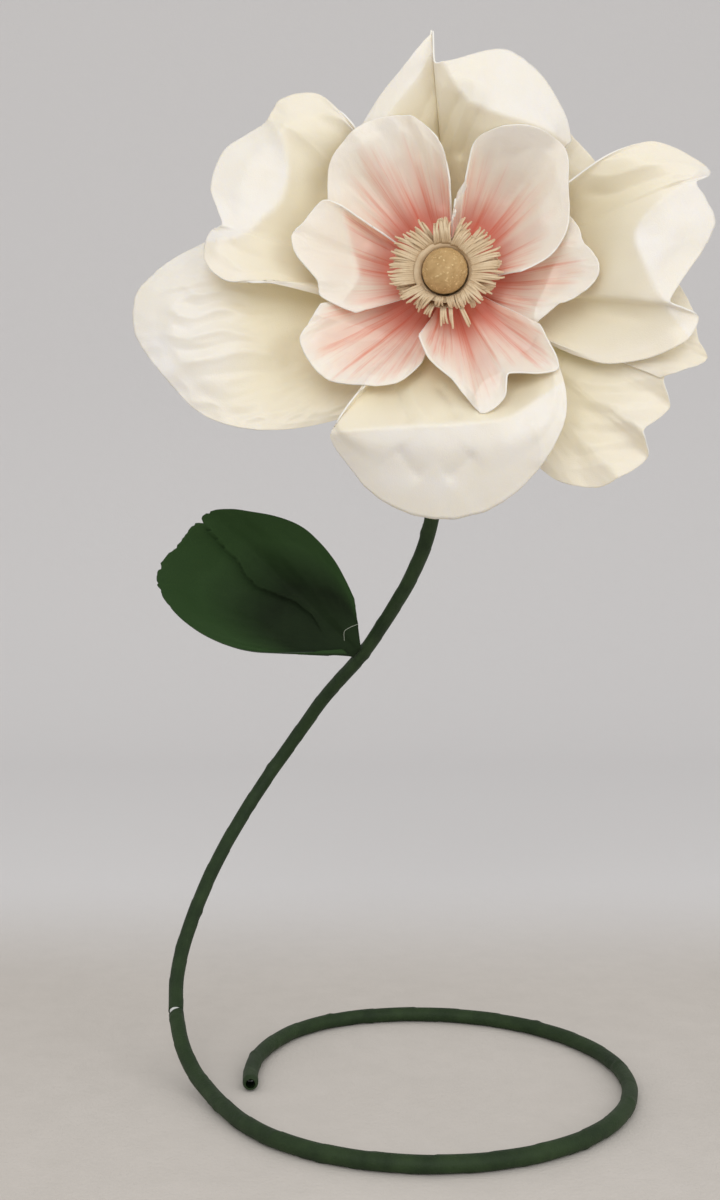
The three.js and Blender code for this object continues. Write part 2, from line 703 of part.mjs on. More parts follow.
function addPetals(head) {
  const laid = [];
  const layers = [
    { petals: OUTER_PETALS, root: OUTER_ROOT_RADIUS, material: petalCream },
    { petals: INNER_PETALS, root: INNER_ROOT_RADIUS, material: petalBlush },
  ];
  for (const { petals, root, material } of layers) {
    for (const petal of petals) {
      const net = sheetNet(petal.ribs, petalRoot(petal, root), petal.belly, PETAL_THICKNESS);
      layOver(net, laid);
      laid.push(net);
      head.add(part(petal.name, sheetGeometry(net), material));
    }
  }
}

function addBloom(group) {
  const head = new THREE.Group();
  const frame = new THREE.Matrix4().makeBasis(bloom.right, bloom.up, bloom.out);
  head.quaternion.setFromRotationMatrix(frame);
  head.position.copy(bloomCentre);
  head.add(part('petal_hub', hubGeometry(), hubWhite));
  addPetals(head);
  head.add(part('stamen_fringe_outer', fringeGeometry(OUTER_FRINGE), stamenBeige));
  head.add(part('stamen_fringe_inner', fringeGeometry(INNER_FRINGE), stamenBeige));
  head.add(part('centre_ball', ballGeometry(), ballGold));
  group.add(head);
}

// Leaf laid against the front of the stem, with its stiffening wire behind it
function addLeaf(group, route) {
  const holder = new THREE.Group();
  const share = shareAtHeight(route, LEAF_HEIGHT);
  holder.position.copy(route.getPointAt(share));
  holder.rotation.x = Math.PI / 2;
  const along = route.getTangentAt(share).normalize();
  along.set(along.x, along.z, -along.y);
  const front = new THREE.Vector3(0, 0, 1).addScaledVector(along, -along.z).normalize();
  const left = new THREE.Vector3().crossVectors(front, along);
  if (left.x > 0) left.negate();
  const turn = radians(LEAF.rootTurn);
  const facing = front.clone().multiplyScalar(Math.cos(turn)).addScaledVector(left, Math.sin(turn));
  const wrapCorner = TUBE_RADIUS / Math.cos(Math.PI / TUBE_SIDES);
  const rootHeight = wrapCorner + LEAF_SEAT + LEAF_THICKNESS;
  const rootAt = (across) => facing.clone().multiplyScalar(rootHeight)
    .addScaledVector(along, THREE.MathUtils.lerp(LEAF.rootFrom, LEAF.rootTo, across));
  const net = sheetNet(LEAF.ribs, rootAt, LEAF.belly, LEAF_THICKNESS);
  holder.add(part('leaf_blade', sheetGeometry(net), leafGreen));
  const wireRadius = LEAF_WIRE_DIAMETER / 2;
  const wirePoints = [left.clone().multiplyScalar(wrapCorner + CLEARANCE + wireRadius)];
  for (let k = 0; k < LEAF_WIRE.points; k += 1) {
    const done = k / (LEAF_WIRE.points - 1);
    const x = THREE.MathUtils.lerp(LEAF_WIRE.from[0], LEAF_WIRE.to[0], done);
    const y = THREE.MathUtils.lerp(LEAF_WIRE.from[1], LEAF_WIRE.to[1], done);
    const back = backHeight(net, cellsAt(net, x, y)[0]);
    wirePoints.push(new THREE.Vector3(x, y, back - CLEARANCE - WIRE_SETBACK * wireRadius));
  }
  const wire = new THREE.ExtrudeGeometry(polygonPath(THREE.Shape, wireRadius, LEAF_WIRE.sides), {
    steps: LEAF_WIRE.steps,
    extrudePath: new THREE.CatmullRomCurve3(wirePoints),
  });
  holder.add(part('leaf_wire', wire, wireGreen));
  group.add(holder);
}

function buildFlower() {
  const flower = new THREE.Group();
  const placed = new THREE.Group();
  const route = stemRoute();
  addStem(placed, route);
  addBloom(placed);
  addLeaf(placed, route);
  flower.add(placed);
  flower.updateMatrixWorld(true);
  const box = new THREE.Box3().setFromObject(placed, true);
  const middle = box.getCenter(new THREE.Vector3());
  placed.position.set(-middle.x, -middle.y, -box.min.z);
  flower.updateMatrixWorld(true);
  return flower;
}

export default buildFlower();
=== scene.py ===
# %% [markdown]
# # A giant craft flower on a bent stem
#
# This lesson dresses a finished construction model of a flower that is 1.27 m tall. The model
# already says where every piece is and how big it is. Here each piece gets its real surface: the
# petals their soft folds and cut rims, the fringe its strands, the stem its spiral of tape.
# Everything is in metres, in the construction model's own frame.

# %% Load the construction model
import math
import random

import bmesh
import bpy
import numpy as np
from mathutils import Matrix, Vector, noise


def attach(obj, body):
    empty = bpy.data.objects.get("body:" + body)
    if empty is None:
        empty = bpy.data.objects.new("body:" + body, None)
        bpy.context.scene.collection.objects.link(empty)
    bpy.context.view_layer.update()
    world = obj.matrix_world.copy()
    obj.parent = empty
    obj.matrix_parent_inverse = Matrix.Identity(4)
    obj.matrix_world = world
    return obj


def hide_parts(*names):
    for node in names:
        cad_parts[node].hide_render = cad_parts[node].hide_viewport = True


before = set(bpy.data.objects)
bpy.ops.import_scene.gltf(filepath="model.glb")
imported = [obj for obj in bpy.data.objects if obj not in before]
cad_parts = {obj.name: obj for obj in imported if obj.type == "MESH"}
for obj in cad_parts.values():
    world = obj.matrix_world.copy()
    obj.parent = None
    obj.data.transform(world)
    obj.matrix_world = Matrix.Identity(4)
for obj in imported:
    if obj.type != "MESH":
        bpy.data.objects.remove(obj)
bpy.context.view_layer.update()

MM = 0.001
print("construction model:", len(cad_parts), "pieces")

# %% [markdown]
# ## Camera
#
# The flower is looked at from the height of its stem's bend, with the camera level. A level camera
# keeps upright edges upright. Its distance and lens come from the shape of the ring on the floor,
# which is a circle seen from the side.

# %% Place the camera
CAMERA_PLACE = (-0.0627, -1.7018, 0.610)
LENS = 39.816

camera_data = bpy.data.cameras.new("view")
camera_data.lens = LENS
camera = bpy.data.objects.new("view", camera_data)
camera.location = CAMERA_PLACE
camera.rotation_euler = (math.pi / 2, 0, 0)
bpy.context.scene.collection.objects.link(camera)
bpy.context.scene.camera = camera
print("camera at", CAMERA_PLACE)

# %% [markdown]
# ## Small helpers
#
# A piece is built in a bmesh, which is Blender's editable mesh in memory, and is then written to
# an object that sits at the origin. One helper does that for every piece, and another says which
# construction piece the new one stands for and which finish it has. Sheets start as flat grids
# that carry a map of their own: across the sheet, and out from its root.

# %% Turn a bmesh into a piece of the flower
def new_object(name, bm, materials):
    """Writes a bmesh to a new object at the origin."""
    mesh = bpy.data.meshes.new(name)
    bm.to_mesh(mesh)
    bm.free()
    mesh.shade_smooth()
    for material in materials:
        mesh.materials.append(material)
    made = bpy.data.objects.new(name, mesh)
    bpy.context.scene.collection.objects.link(made)
    return made


def make_piece(name, bm, stands_for, materials):
    """Makes an object that rides on the flower and replaces a construction piece."""
    piece = new_object(name, bm, materials)
    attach(piece, "root")
    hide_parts(stands_for)
    print(name, "has", len(piece.data.polygons), "faces")
    return piece


def add_thickness(piece, thickness, rim_slot=0):
    """Gives a sheet thickness behind its front face; its cut edge takes the material rim_slot
    places on.
    """
    solidify = piece.modifiers.new("thickness", "SOLIDIFY")
    solidify.thickness = thickness
    solidify.offset = -1
    solidify.use_even_offset = False
    solidify.material_offset_rim = rim_slot
    return solidify


def eased(value, start, end):
    """0 before start, 1 after end, and a smooth rise between them."""
    share = np.clip((value - start) / (end - start), 0, 1)
    return share * share * (3 - 2 * share)


def inside_ends(share):
    """1 along the middle of a line or a rim, easing to 0 at both its ends."""
    return eased(share, 0, 0.2) * (1 - eased(share, 0.8, 1))


# %% Start a sheet as a flat grid
def new_sheet():
    """An empty bmesh whose grids will carry their own map."""
    bm = bmesh.new()
    bm.loops.layers.uv.new("across_out")
    return bm


def add_grid(bm, across, out):
    """Adds a flat grid, and gives each of its points with its column and its row."""
    before = set(bm.verts)
    bmesh.ops.create_grid(bm, x_segments=across, y_segments=out, size=1, calc_uvs=True)
    return [
        (vert, round((vert.co.x + 1) / 2 * across), round((vert.co.y + 1) / 2 * out))
        for vert in bm.verts if vert not in before
    ]


# %% [markdown]
# ## Shader groups
#
# Paper, foam and tape are never one even colour. Several finishes share two effects, so each is a
# node group that is built once: a cloudy blend of two colours, and a fine relief for the bump.

# %% Feed an input, and add a node
def feed(tree, socket, value):
    """Joins another node's output to an input, or sets the input to a plain value."""
    if isinstance(value, bpy.types.NodeSocket):
        tree.links.new(value, socket)
    elif socket.type == "RGBA":
        socket.default_value = (*value, 1)
    else:
        socket.default_value = value


def node(tree, kind, feeds=(), **settings):
    """Adds a node, sets its properties, and feeds its inputs."""
    made = tree.nodes.new(kind)
    for key, value in settings.items():
        setattr(made, key, value)
    for key, value in dict(feeds).items():
        feed(tree, made.inputs[key], value)
    return made


def mixed(tree, factor, first, second):
    """Blends two colours, each another node's output or a plain colour."""
    feeds = {"Factor": factor, 6: first, 7: second}
    return node(tree, "ShaderNodeMix", feeds, data_type="RGBA").outputs[2]


def times(tree, first, second):
    """Multiplies two numbers, each another node's output or a plain number."""
    feeds = {0: first, 1: second}
    return node(tree, "ShaderNodeMath", feeds, operation="MULTIPLY").outputs["Value"]


def ranged(tree, value, low, high, to_low=0.0, to_high=1.0, ease="SMOOTHSTEP"):
    """Brings a value from one range to another."""
    feeds = {
        "Value": value, "From Min": low, "From Max": high, "To Min": to_low, "To Max": to_high,
    }
    return node(tree, "ShaderNodeMapRange", feeds, interpolation_type=ease).outputs["Result"]


def object_place(tree):
    return node(tree, "ShaderNodeTexCoord").outputs["Object"]


# %% Start a shader group with named sockets
def new_group(name, inputs, output, kind):
    """Makes a shader group with one output. Each input has a name, a kind and a value."""
    group = bpy.data.node_groups.new(name, "ShaderNodeTree")
    for title, socket_kind, value in inputs:
        socket = group.interface.new_socket(title, in_out="INPUT", socket_type=socket_kind)
        socket.default_value = value
    group.interface.new_socket(output, in_out="OUTPUT", socket_type=kind)
    return group, group.nodes.new("NodeGroupInput").outputs, group.nodes.new("NodeGroupOutput")


# %% Cloudy blend of two colours
def make_cloudy_group():
    group, given, put_out = new_group(
        "cloudy_colour",
        [("Colour", "NodeSocketColor", (1, 1, 1, 1)), ("Other", "NodeSocketColor", (1, 1, 1, 1)),
         ("Scale", "NodeSocketFloat", 10), ("Amount", "NodeSocketFloat", 0.5)],
        "Colour", "NodeSocketColor",
    )
    clouds = node(group, "ShaderNodeTexNoise", {
        "Vector": object_place(group), "Scale": given["Scale"], "Detail": 6, "Roughness": 0.6,
    })
    share = ranged(group, clouds.outputs["Fac"], 0.35, 0.68, 0.0, given["Amount"], "LINEAR")
    feed(group, put_out.inputs["Colour"], mixed(group, share, given["Colour"], given["Other"]))
    return group


CLOUDY = make_cloudy_group()


# %% Fine relief for the bump
def make_relief_group():
    group, given, put_out = new_group(
        "fine_relief",
        [("Grain", "NodeSocketFloat", 900), ("Crease", "NodeSocketFloat", 60),
         ("Crease share", "NodeSocketFloat", 0.5)],
        "Height", "NodeSocketFloat",
    )
    place = object_place(group)
    grain = node(group, "ShaderNodeTexNoise", {
        "Vector": place, "Scale": given["Grain"], "Detail": 3,
    })
    crease = node(group, "ShaderNodeTexNoise", {
        "Vector": place, "Scale": given["Crease"], "Detail": 8, "Roughness": 0.65,
        "Distortion": 0.4,
    })
    blend = node(group, "ShaderNodeMix", {
        "Factor": given["Crease share"], 2: grain.outputs["Fac"], 3: crease.outputs["Fac"],
    }, data_type="FLOAT")
    feed(group, put_out.inputs["Height"], blend.outputs[0])
    return group


RELIEF = make_relief_group()
print("shader groups:", CLOUDY.name, "and", RELIEF.name)

# %% [markdown]
# ## Finishes
#
# A finish starts from a plain Principled shader with its roughness and sheen set. The
# colour then comes from the cloudy group, and the bump from the relief group.

# %% Start a finish
def start_finish(name, roughness, sheen=0.0, soft=0.0, gloss=0.5):
    """Makes a material with its plain values set, and gives its node tree and shader too."""
    material = bpy.data.materials.new(name)
    material.use_nodes = True
    tree = material.node_tree
    shader = tree.nodes["Principled BSDF"]
    plain = {
        "Roughness": roughness, "Sheen Weight": sheen, "Subsurface Weight": soft,
        "Subsurface Scale": 0.01, "Subsurface Radius": (1.0, 0.8, 0.5), "Specular IOR Level": gloss,
    }
    for key, value in plain.items():
        feed(tree, shader.inputs[key], value)
    return material, tree, shader


def cloudy(tree, colour, other, scale, amount):
    feeds = {"Colour": colour, "Other": other, "Scale": scale, "Amount": amount}
    return node(tree, "ShaderNodeGroup", feeds, node_tree=CLOUDY).outputs["Colour"]


def dress(tree, shader, colour, grain, crease, share, distance):
    """Gives a shader its colour, and a bump from the relief group."""
    feed(tree, shader.inputs["Base Color"], colour)
    feeds = {"Grain": grain, "Crease": crease, "Crease share": share}
    relief = node(tree, "ShaderNodeGroup", feeds, node_tree=RELIEF)
    bump = node(tree, "ShaderNodeBump", {
        "Height": relief.outputs["Height"], "Distance": distance, "Strength": 1.0,
    })
    feed(tree, shader.inputs["Normal"], bump.outputs["Normal"])


def cloudy_finish(name, colour, other, scale, amount, roughness, relief, sheen=0.0, soft=0.0,
                  gloss=0.5):
    material, tree, shader = start_finish(name, roughness, sheen, soft, gloss)
    dress(tree, shader, cloudy(tree, colour, other, scale, amount), *relief)
    return material


# %% Position on a sheet
def own_map(tree):
    """A sheet's own map, and from it how far each point is from the root to the rim."""
    place = node(tree, "ShaderNodeUVMap", uv_map="across_out").outputs["UV"]
    return place, node(tree, "ShaderNodeSeparateXYZ", {"Vector": place}).outputs["Y"]


def colour_ramp(tree, value, stops):
    ramp = node(tree, "ShaderNodeValToRGB", {"Fac": value})
    points = ramp.color_ramp.elements
    while len(points) < len(stops):
        points.new(0.5)
    for point, (place, colour) in zip(points, stops):
        point.position = place
        point.color = (*colour, 1)
    return ramp.outputs["Color"]


def attribute(tree, name):
    """A number that each point of a petal carries."""
    return node(tree, "ShaderNodeAttribute", attribute_name=name).outputs["Fac"]


# %% [markdown]
# ## Petal finishes
#
# The outer petals are cream. Their heart, where they come out of the middle, is yellower: partly a
# yellow tint and partly painted shade in the hollow of the bowl. The lip beyond each crease is
# painted paler, which is painted light on the rolled rim. The inner ones have fine coral streaks
# that run outward and fade. A streak is noise that is squeezed across the petal and stretched along
# it, so it needs the petal's own map.

# %% Cream of the outer petals
# Petal colours: the shade colour is painted shade of the bowl, the heart colour a yellow tint with
# painted shade, and the lip colour painted light.
CREAM = (0.91, 0.835, 0.71)
CREAM_PAINTED_SHADE = (0.91, 0.81, 0.60)
CREAM_HEART = (0.89, 0.76, 0.48)
LIP_PAINTED_LIGHT = (0.92, 0.885, 0.84)


def petal_cream_finish():
    material, tree, shader = start_finish("petal_cream", 0.44, 0.05, 0.3)
    # Heart to rim ramp: a yellow tint with painted shade in the bowl.
    bowl = colour_ramp(tree, own_map(tree)[1], [
        (0.10, CREAM_HEART), (0.45, CREAM_PAINTED_SHADE), (0.85, CREAM), (1.0, CREAM),
    ])
    # The pale lip colour is painted light, mixed in by the lip share.
    lip = cloudy(tree, LIP_PAINTED_LIGHT, CREAM, 8, 0.45)
    blend = mixed(tree, attribute(tree, "lip"), bowl, lip)
    dress(tree, shader, cloudy(tree, blend, CREAM_PAINTED_SHADE, 11, 0.4), 700, 35, 0.55, 0.0006)
    return material


# %% Coral streaks of the inner petals
BLUSH = (0.93, 0.83, 0.69)
BLUSH_RIM = (0.94, 0.87, 0.77)
PINK = (0.94, 0.58, 0.50)
CORAL = (0.80, 0.24, 0.16)
CORAL_DEEP = (0.62, 0.10, 0.05)
STREAKS_ACROSS = 20
STREAK_STRETCH = 0.8


def streaks(tree, place):
    """Noise that is squeezed across a petal and drawn out along it."""
    squeezed = node(tree, "ShaderNodeMapping", {
        "Vector": place, "Scale": (STREAKS_ACROSS, STREAK_STRETCH, 1),
    })
    return node(tree, "ShaderNodeTexNoise", {
        "Vector": squeezed.outputs["Vector"], "Scale": 1, "Detail": 5, "Roughness": 0.65,
    }).outputs["Fac"]


def petal_blush_finish():
    material, tree, shader = start_finish("petal_blush", 0.5, 0.05, 0.3)
    place, out = own_map(tree)
    stain = attribute(tree, "stain")
    lines = ranged(tree, streaks(tree, place), 0.46, 0.66)
    heart = ranged(tree, out, 0.22, 0.50, 1.0, 0.0)
    cream = colour_ramp(tree, out, [(0.4, BLUSH), (1.0, BLUSH_RIM)])
    washed = mixed(tree, times(tree, stain, 0.8), cream, PINK)
    streaked = mixed(tree, times(tree, stain, lines), washed, CORAL)
    deep = mixed(tree, times(tree, heart, stain), streaked, CORAL_DEEP)
    dress(tree, shader, deep, 700, 50, 0.5, 0.0006)
    return material


PETAL_CREAM = petal_cream_finish()
PETAL_BLUSH = petal_blush_finish()
PETAL_EDGE = cloudy_finish(
    "petal_cut_edge", (0.95, 0.94, 0.90), (0.90, 0.86, 0.76), 60, 0.4, 0.6, (900, 80, 0.4, 0.0003),
)
print("petal finishes:", PETAL_CREAM.name, PETAL_BLUSH.name, PETAL_EDGE.name)

# %% [markdown]
# ## Finishes of the middle, the leaf, the stem and the hub
#
# These are cloudy finishes: two colours, the scale and amount of the clouds, the roughness, and
# the relief with its grain, crease, share of crease and depth. The leaf is darker toward its root,
# which is painted shade of the bloom above it, and its lighter cloudy patches are painted light.
# The ball has small bright flakes, which are cells of a Voronoi texture.

# %% Cloudy finishes
STAMEN = cloudy_finish(
    "stamen_beige", (0.76, 0.61, 0.41), (0.58, 0.40, 0.22), 70, 0.6, 0.65, (1200, 160, 0.5, 0.0006),
    sheen=0.05, soft=0.05,
)
LEAF_EDGE = cloudy_finish(
    "leaf_cut_edge", (0.015, 0.030, 0.016), (0.05, 0.08, 0.045), 120, 0.5, 0.7,
    (900, 90, 0.4, 0.0003),
)
TAPE_GREEN = cloudy_finish(
    "tape_green", (0.012, 0.027, 0.008), (0.028, 0.054, 0.017), 24, 0.8, 0.6,
    (500, 70, 0.6, 0.0014), gloss=0.25,
)
PIPE_WHITE = cloudy_finish(
    "pipe_white", (0.72, 0.74, 0.73), (0.62, 0.63, 0.60), 40, 0.5, 0.35, (400, 30, 0.4, 0.0002),
)
# The pipe's inner wall is near black: painted shade inside the bore.
PIPE_BORE_PAINTED_SHADE = cloudy_finish(
    "pipe_bore_painted_shade", (0.012, 0.016, 0.014), (0.05, 0.055, 0.05), 50, 0.5, 0.5, (400, 60, 0.4, 0.0004),
)
HUB_FOAM = cloudy_finish(
    "hub_foam", (0.80, 0.76, 0.66), (0.70, 0.64, 0.50), 30, 0.6, 0.7, (900, 220, 0.7, 0.0008),
)
GLUE = cloudy_finish(
    "dried_glue", (0.42, 0.46, 0.38), (0.28, 0.33, 0.25), 200, 0.5, 0.4, (900, 200, 0.5, 0.0002),
)
WIRE_GREEN = cloudy_finish(
    "wire_green", (0.03, 0.08, 0.035), (0.06, 0.12, 0.05), 60, 0.6, 0.5, (800, 90, 0.5, 0.0003),
)

# %% Dark green of the leaf
# The dark root colour is painted shade of the bloom above, and the patch colour painted light.
LEAF_ROOT_PAINTED_SHADE = (0.006, 0.012, 0.004)
LEAF_TIP_GREEN = (0.024, 0.056, 0.016)
LEAF_PAINTED_LIGHT_PATCH = (0.034, 0.066, 0.025)


def leaf_finish():
    material, tree, shader = start_finish("leaf_green", 0.7, gloss=0.12)
    # Dark at the root as painted shade, lighter toward the tip, with patches of painted light.
    stops = [(0.40, LEAF_ROOT_PAINTED_SHADE), (0.72, LEAF_TIP_GREEN)]
    ramped_from_root = colour_ramp(tree, own_map(tree)[1], stops)
    dress(tree, shader, cloudy(tree, ramped_from_root, LEAF_PAINTED_LIGHT_PATCH, 9, 0.3), 600, 26, 0.6, 0.001)
    return material


LEAF_GREEN = leaf_finish()

# %% Gold-brown glitter of the ball
BALL_BROWN = (0.47, 0.29, 0.11)
BALL_GOLD = (0.63, 0.42, 0.19)
FLAKE_GOLD = (0.80, 0.62, 0.34)


def glitter_finish():
    material, tree, shader = start_finish("ball_glitter", 0.42)
    cells = node(tree, "ShaderNodeTexVoronoi", {"Vector": object_place(tree), "Scale": 520})
    parts = node(tree, "ShaderNodeSeparateColor", {"Color": cells.outputs["Color"]})
    shine = ranged(tree, parts.outputs["Red"], 0.88, 0.98, ease="LINEAR")
    brown = cloudy(tree, BALL_BROWN, BALL_GOLD, 120, 0.9)
    dress(tree, shader, mixed(tree, shine, brown, FLAKE_GOLD), 1500, 260, 0.5, 0.0015)
    feed(tree, shader.inputs["Metallic"], times(tree, shine, 0.85))
    return material


BALL_GLITTER = glitter_finish()
print("finishes ready:", len(bpy.data.materials))

# %% [markdown]
# ## The bloom's own frame
#
# The bloom looks a little down and to the camera's left. Its petals are easier to shape in a frame
# that faces along with it: x to the right as the camera sees it, y up, z out of its face. The hub
# is a turned piece, so the middle of its back end lies on the bloom's axis.

# %% Find the bloom's axis and middle
BLOOM_TURN = math.radians(7)
BLOOM_NOD = math.radians(4)
HUB_RIM = 0.060
HUB_FRONT = -0.040
SAME_POINT = 1e-5
SEAM = 1e-6

bloom_out = Vector((
    -math.sin(BLOOM_TURN) * math.cos(BLOOM_NOD),
    -math.cos(BLOOM_TURN) * math.cos(BLOOM_NOD),
    -math.sin(BLOOM_NOD),
))
bloom_right = Vector((math.cos(BLOOM_TURN), -math.sin(BLOOM_TURN), 0))
bloom_up = bloom_out.cross(bloom_right)


def points_of(name):
    """A construction piece's own points, as rows of x, y, z."""
    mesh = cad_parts[name].data
    flat = np.empty(len(mesh.vertices) * 3)
    mesh.vertices.foreach_get("co", flat)
    return flat.reshape(-1, 3)


hub_points = points_of("petal_hub")
hub_heights = hub_points @ bloom_out
back_end = hub_points[hub_heights < hub_heights.min() + MM]
axis_point = Vector((back_end.max(axis=0) + back_end.min(axis=0)) / 2)
from_axis = hub_points - np.array(axis_point)
along_axis = from_axis @ bloom_out
off_axis = np.linalg.norm(from_axis - np.outer(along_axis, bloom_out), axis=1)
bloom_centre = axis_point + bloom_out * (along_axis[off_axis > HUB_RIM].max() - HUB_FRONT)
TO_BLOOM = Matrix((bloom_right, bloom_up, bloom_out)).to_4x4() @ Matrix.Translation(-bloom_centre)
FROM_BLOOM = TO_BLOOM.inverted()
print("middle of the bloom:", [round(x, 4) for x in bloom_centre])

# %% [markdown]
# ## Reading a petal's net
#
# A petal in the construction model is a coarse net of points with a front and a back. Each back
# point lies straight behind its front point, so the front is found by pairing them, and the back is
# taken away. The front's four corners touch only one or two triangles. The row between the two
# corners that lie nearest the middle is the root, and each step along the edges away from it gives
# the next row.

# %% Read the rows of points from root to rim
def front_rows(name, to_local, middle):
    """Rows of points of a sheet's front, from its root to its rim, in a local frame."""
    bm = bmesh.new()
    bm.from_mesh(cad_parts[name].data)
    bmesh.ops.remove_doubles(bm, verts=bm.verts, dist=SAME_POINT)
    bmesh.ops.transform(bm, matrix=to_local, verts=bm.verts)
    bm.verts.ensure_lookup_table()
    points = np.array([vert.co for vert in bm.verts])
    apart = np.linalg.norm(points[:, None, :2] - points[None, :, :2], axis=2)
    np.fill_diagonal(apart, 1)
    partner = apart.argmin(axis=1)
    behind = [
        vert for vert in bm.verts if points[vert.index, 2] <= points[partner[vert.index], 2]
    ]
    bmesh.ops.delete(bm, geom=behind, context="VERTS")
    corners = {vert for vert in bm.verts if len(vert.link_faces) <= 2}
    sides = border_sides({edge for edge in bm.edges if edge.is_boundary}, corners)
    longest = sorted(sides, key=len)[-2:]
    root = min(longest, key=lambda side: np.mean([(vert.co - middle).length for vert in side]))
    found = [[vert.co.copy() for vert in row] for row in rows_from(root)]
    bm.free()
    return np.array(found)


def border_sides(border, corners):
    """Splits the border loop at its corners into lists of points."""
    sides = []
    left = set(border)
    for corner in corners:
        for edge in corner.link_edges:
            if edge not in left:
                continue
            side = [corner]
            while edge is not None:
                left.discard(edge)
                side.append(edge.other_vert(side[-1]))
                if side[-1] in corners:
                    break
                edge = next((e for e in side[-1].link_edges if e in left), None)
            sides.append(side)
    return sides


def rows_from(root):
    """Follows a net outward from its root row, one row at a time, keeping each row's order."""
    rows = [root]
    seen = set(root)
    while True:
        fresh = {edge.other_vert(vert) for vert in rows[-1] for edge in vert.link_edges} - seen
        if not fresh:
            return rows
        seen |= fresh
        rows.append(in_order(fresh, rows[-1][0]))


def in_order(fresh, start_below):
    """Sorts the points of one row from the end that joins the start of the row before."""
    beside = {
        vert: [edge.other_vert(vert) for edge in vert.link_edges if edge.other_vert(vert) in fresh]
        for vert in fresh
    }
    ends = [vert for vert in fresh if len(beside[vert]) == 1]
    row = [min(ends, key=lambda vert: (vert.co - start_below.co).length)]
    while len(row) < len(fresh):
        row.append(next(vert for vert in beside[row[-1]] if vert not in row))
    return row


def clockwise(rows):
    """Turns a net's rows so that they run clockwise seen from the front."""
    across = rows[-1, -1] - rows[-1, 0]
    outward = rows[-1].mean(axis=0) - rows[0].mean(axis=0)
    turn = across[0] * outward[1] - across[1] * outward[0]
    return rows if turn > 0 else rows[:, ::-1]


# %% Draw a net finer through the same points
def between(values, places):
    """Smooth curve through evenly spaced values, read at places from 0 to 1 along it."""
    last = len(values) - 1
    at = np.clip(places, 0, 1) * last
    low = np.minimum(at.astype(int), last - 1)
    t = (at - low).reshape(-1, *([1] * (values.ndim - 1)))
    ends = (2 * values[:1] - values[1:2], 2 * values[-1:] - values[-2:-1])
    padded = np.concatenate([ends[0], values, ends[1]])
    a, b, c, d = (padded[low + k] for k in range(4))
    return 0.5 * (
        2 * b + (c - a) * t + (2 * a - 5 * b + 4 * c - d) * t ** 2
        + (3 * b - a - 3 * c + d) * t ** 3
    )


def finer(rows, across, out, reach=None):
    """A fine grid of points over a net. The reach, from 0 to 1 for each column, trims its rim."""
    columns = between(rows.transpose(1, 0, 2), np.linspace(0, 1, across + 1)).transpose(1, 0, 2)
    places = np.linspace(0, 1, out + 1)
    if reach is None:
        return between(columns, places)
    fine = [between(columns[:, i], places * reach[i]) for i in range(across + 1)]
    return np.array(fine).transpose(1, 0, 2)


# %% Keep a petal's columns in order round the bloom
COLUMN_GAP = 0.0003


def unfolded(points):
    """Turns columns that double back, so that they follow one another clockwise."""
    angles = np.unwrap(np.arctan2(points[..., 1], points[..., 0]), axis=1)
    radii = np.hypot(points[..., 0], points[..., 1])
    middle = points.shape[1] // 2
    for i in range(middle + 1, points.shape[1]):
        angles[:, i] = np.minimum(angles[:, i], angles[:, i - 1] - COLUMN_GAP)
    for i in range(middle - 1, -1, -1):
        angles[:, i] = np.maximum(angles[:, i], angles[:, i + 1] + COLUMN_GAP)
    points[..., 0] = radii * np.cos(angles)
    points[..., 1] = radii * np.sin(angles)
    return points


# %% Wandering numbers that are the same on every run
NOISE_RANGE = 1.8


def wander(across, out, scale_across, scale_out, seed):
    """A smooth random field over a grid of points, from about -1 to 1."""
    field = np.empty((len(out), len(across)))
    for j, v in enumerate(out):
        for i, u in enumerate(across):
            place = Vector((u * scale_across + seed * 17.3, v * scale_out - seed * 5.1, seed))
            field[j, i] = noise.noise(place)
    return field * NOISE_RANGE


# %% [markdown]
# ## Laying the petals over each other
#
# The petals lie on each other like roof tiles. Once they have soft folds they would cut through
# the next one, so each petal is laid over a height map of those already laid, and rises where it
# has to. The rise is eased outward, so that a petal bends instead of stepping.

# %% Height map of the petals that are already laid
MAP_PITCH = 0.001
MAP_LOW = (-0.42, -0.34)
MAP_CELLS = (780, 660)
PETAL_THICKNESS = 0.002
PETAL_GAP = 0.0006
RISE_SLOPE = 0.45
STEEPEST = 0.45
MAP_FINER = 4

laid_heights = np.full(MAP_CELLS, -1.0)


def cells_of(points):
    cells = ((points[..., :2] - MAP_LOW) / MAP_PITCH).astype(int)
    cells = np.clip(cells, 0, np.array(MAP_CELLS) - 1)
    return cells[..., 0], cells[..., 1]


def facing(points):
    """How nearly each point of a grid faces forward, from 0 to 1."""
    across = np.gradient(points, axis=1)
    outward = np.gradient(points, axis=0)
    normals = np.cross(across, outward)
    lengths = np.maximum(np.linalg.norm(normals, axis=2), 1e-12)
    return np.abs(normals[..., 2]) / lengths


def spread_rise(rise, points):
    """Eases a rise over the grid, falling off by a fixed slope with distance."""
    steps_out = np.linalg.norm(np.diff(points, axis=0), axis=2) * RISE_SLOPE
    steps_across = np.linalg.norm(np.diff(points, axis=1), axis=2) * RISE_SLOPE
    for _ in range(3):
        for grid, steps in ((rise, steps_out), (rise.T, steps_across.T)):
            for j in range(1, len(grid)):
                grid[j] = np.maximum(grid[j], grid[j - 1] - steps[j - 1])
            for j in range(len(grid) - 2, -1, -1):
                grid[j] = np.maximum(grid[j], grid[j + 1] - steps[j])
    return rise


def soften(rise, rounds=6):
    """Averages a rise with its neighbours, but never below what is needed."""
    needed = rise.copy()
    for _ in range(rounds):
        wide = np.pad(rise, 1, mode="edge")
        mean = (wide[:-2, 1:-1] + wide[2:, 1:-1] + wide[1:-1, :-2] + wide[1:-1, 2:]) / 4
        rise = np.maximum(needed, mean)
    return rise


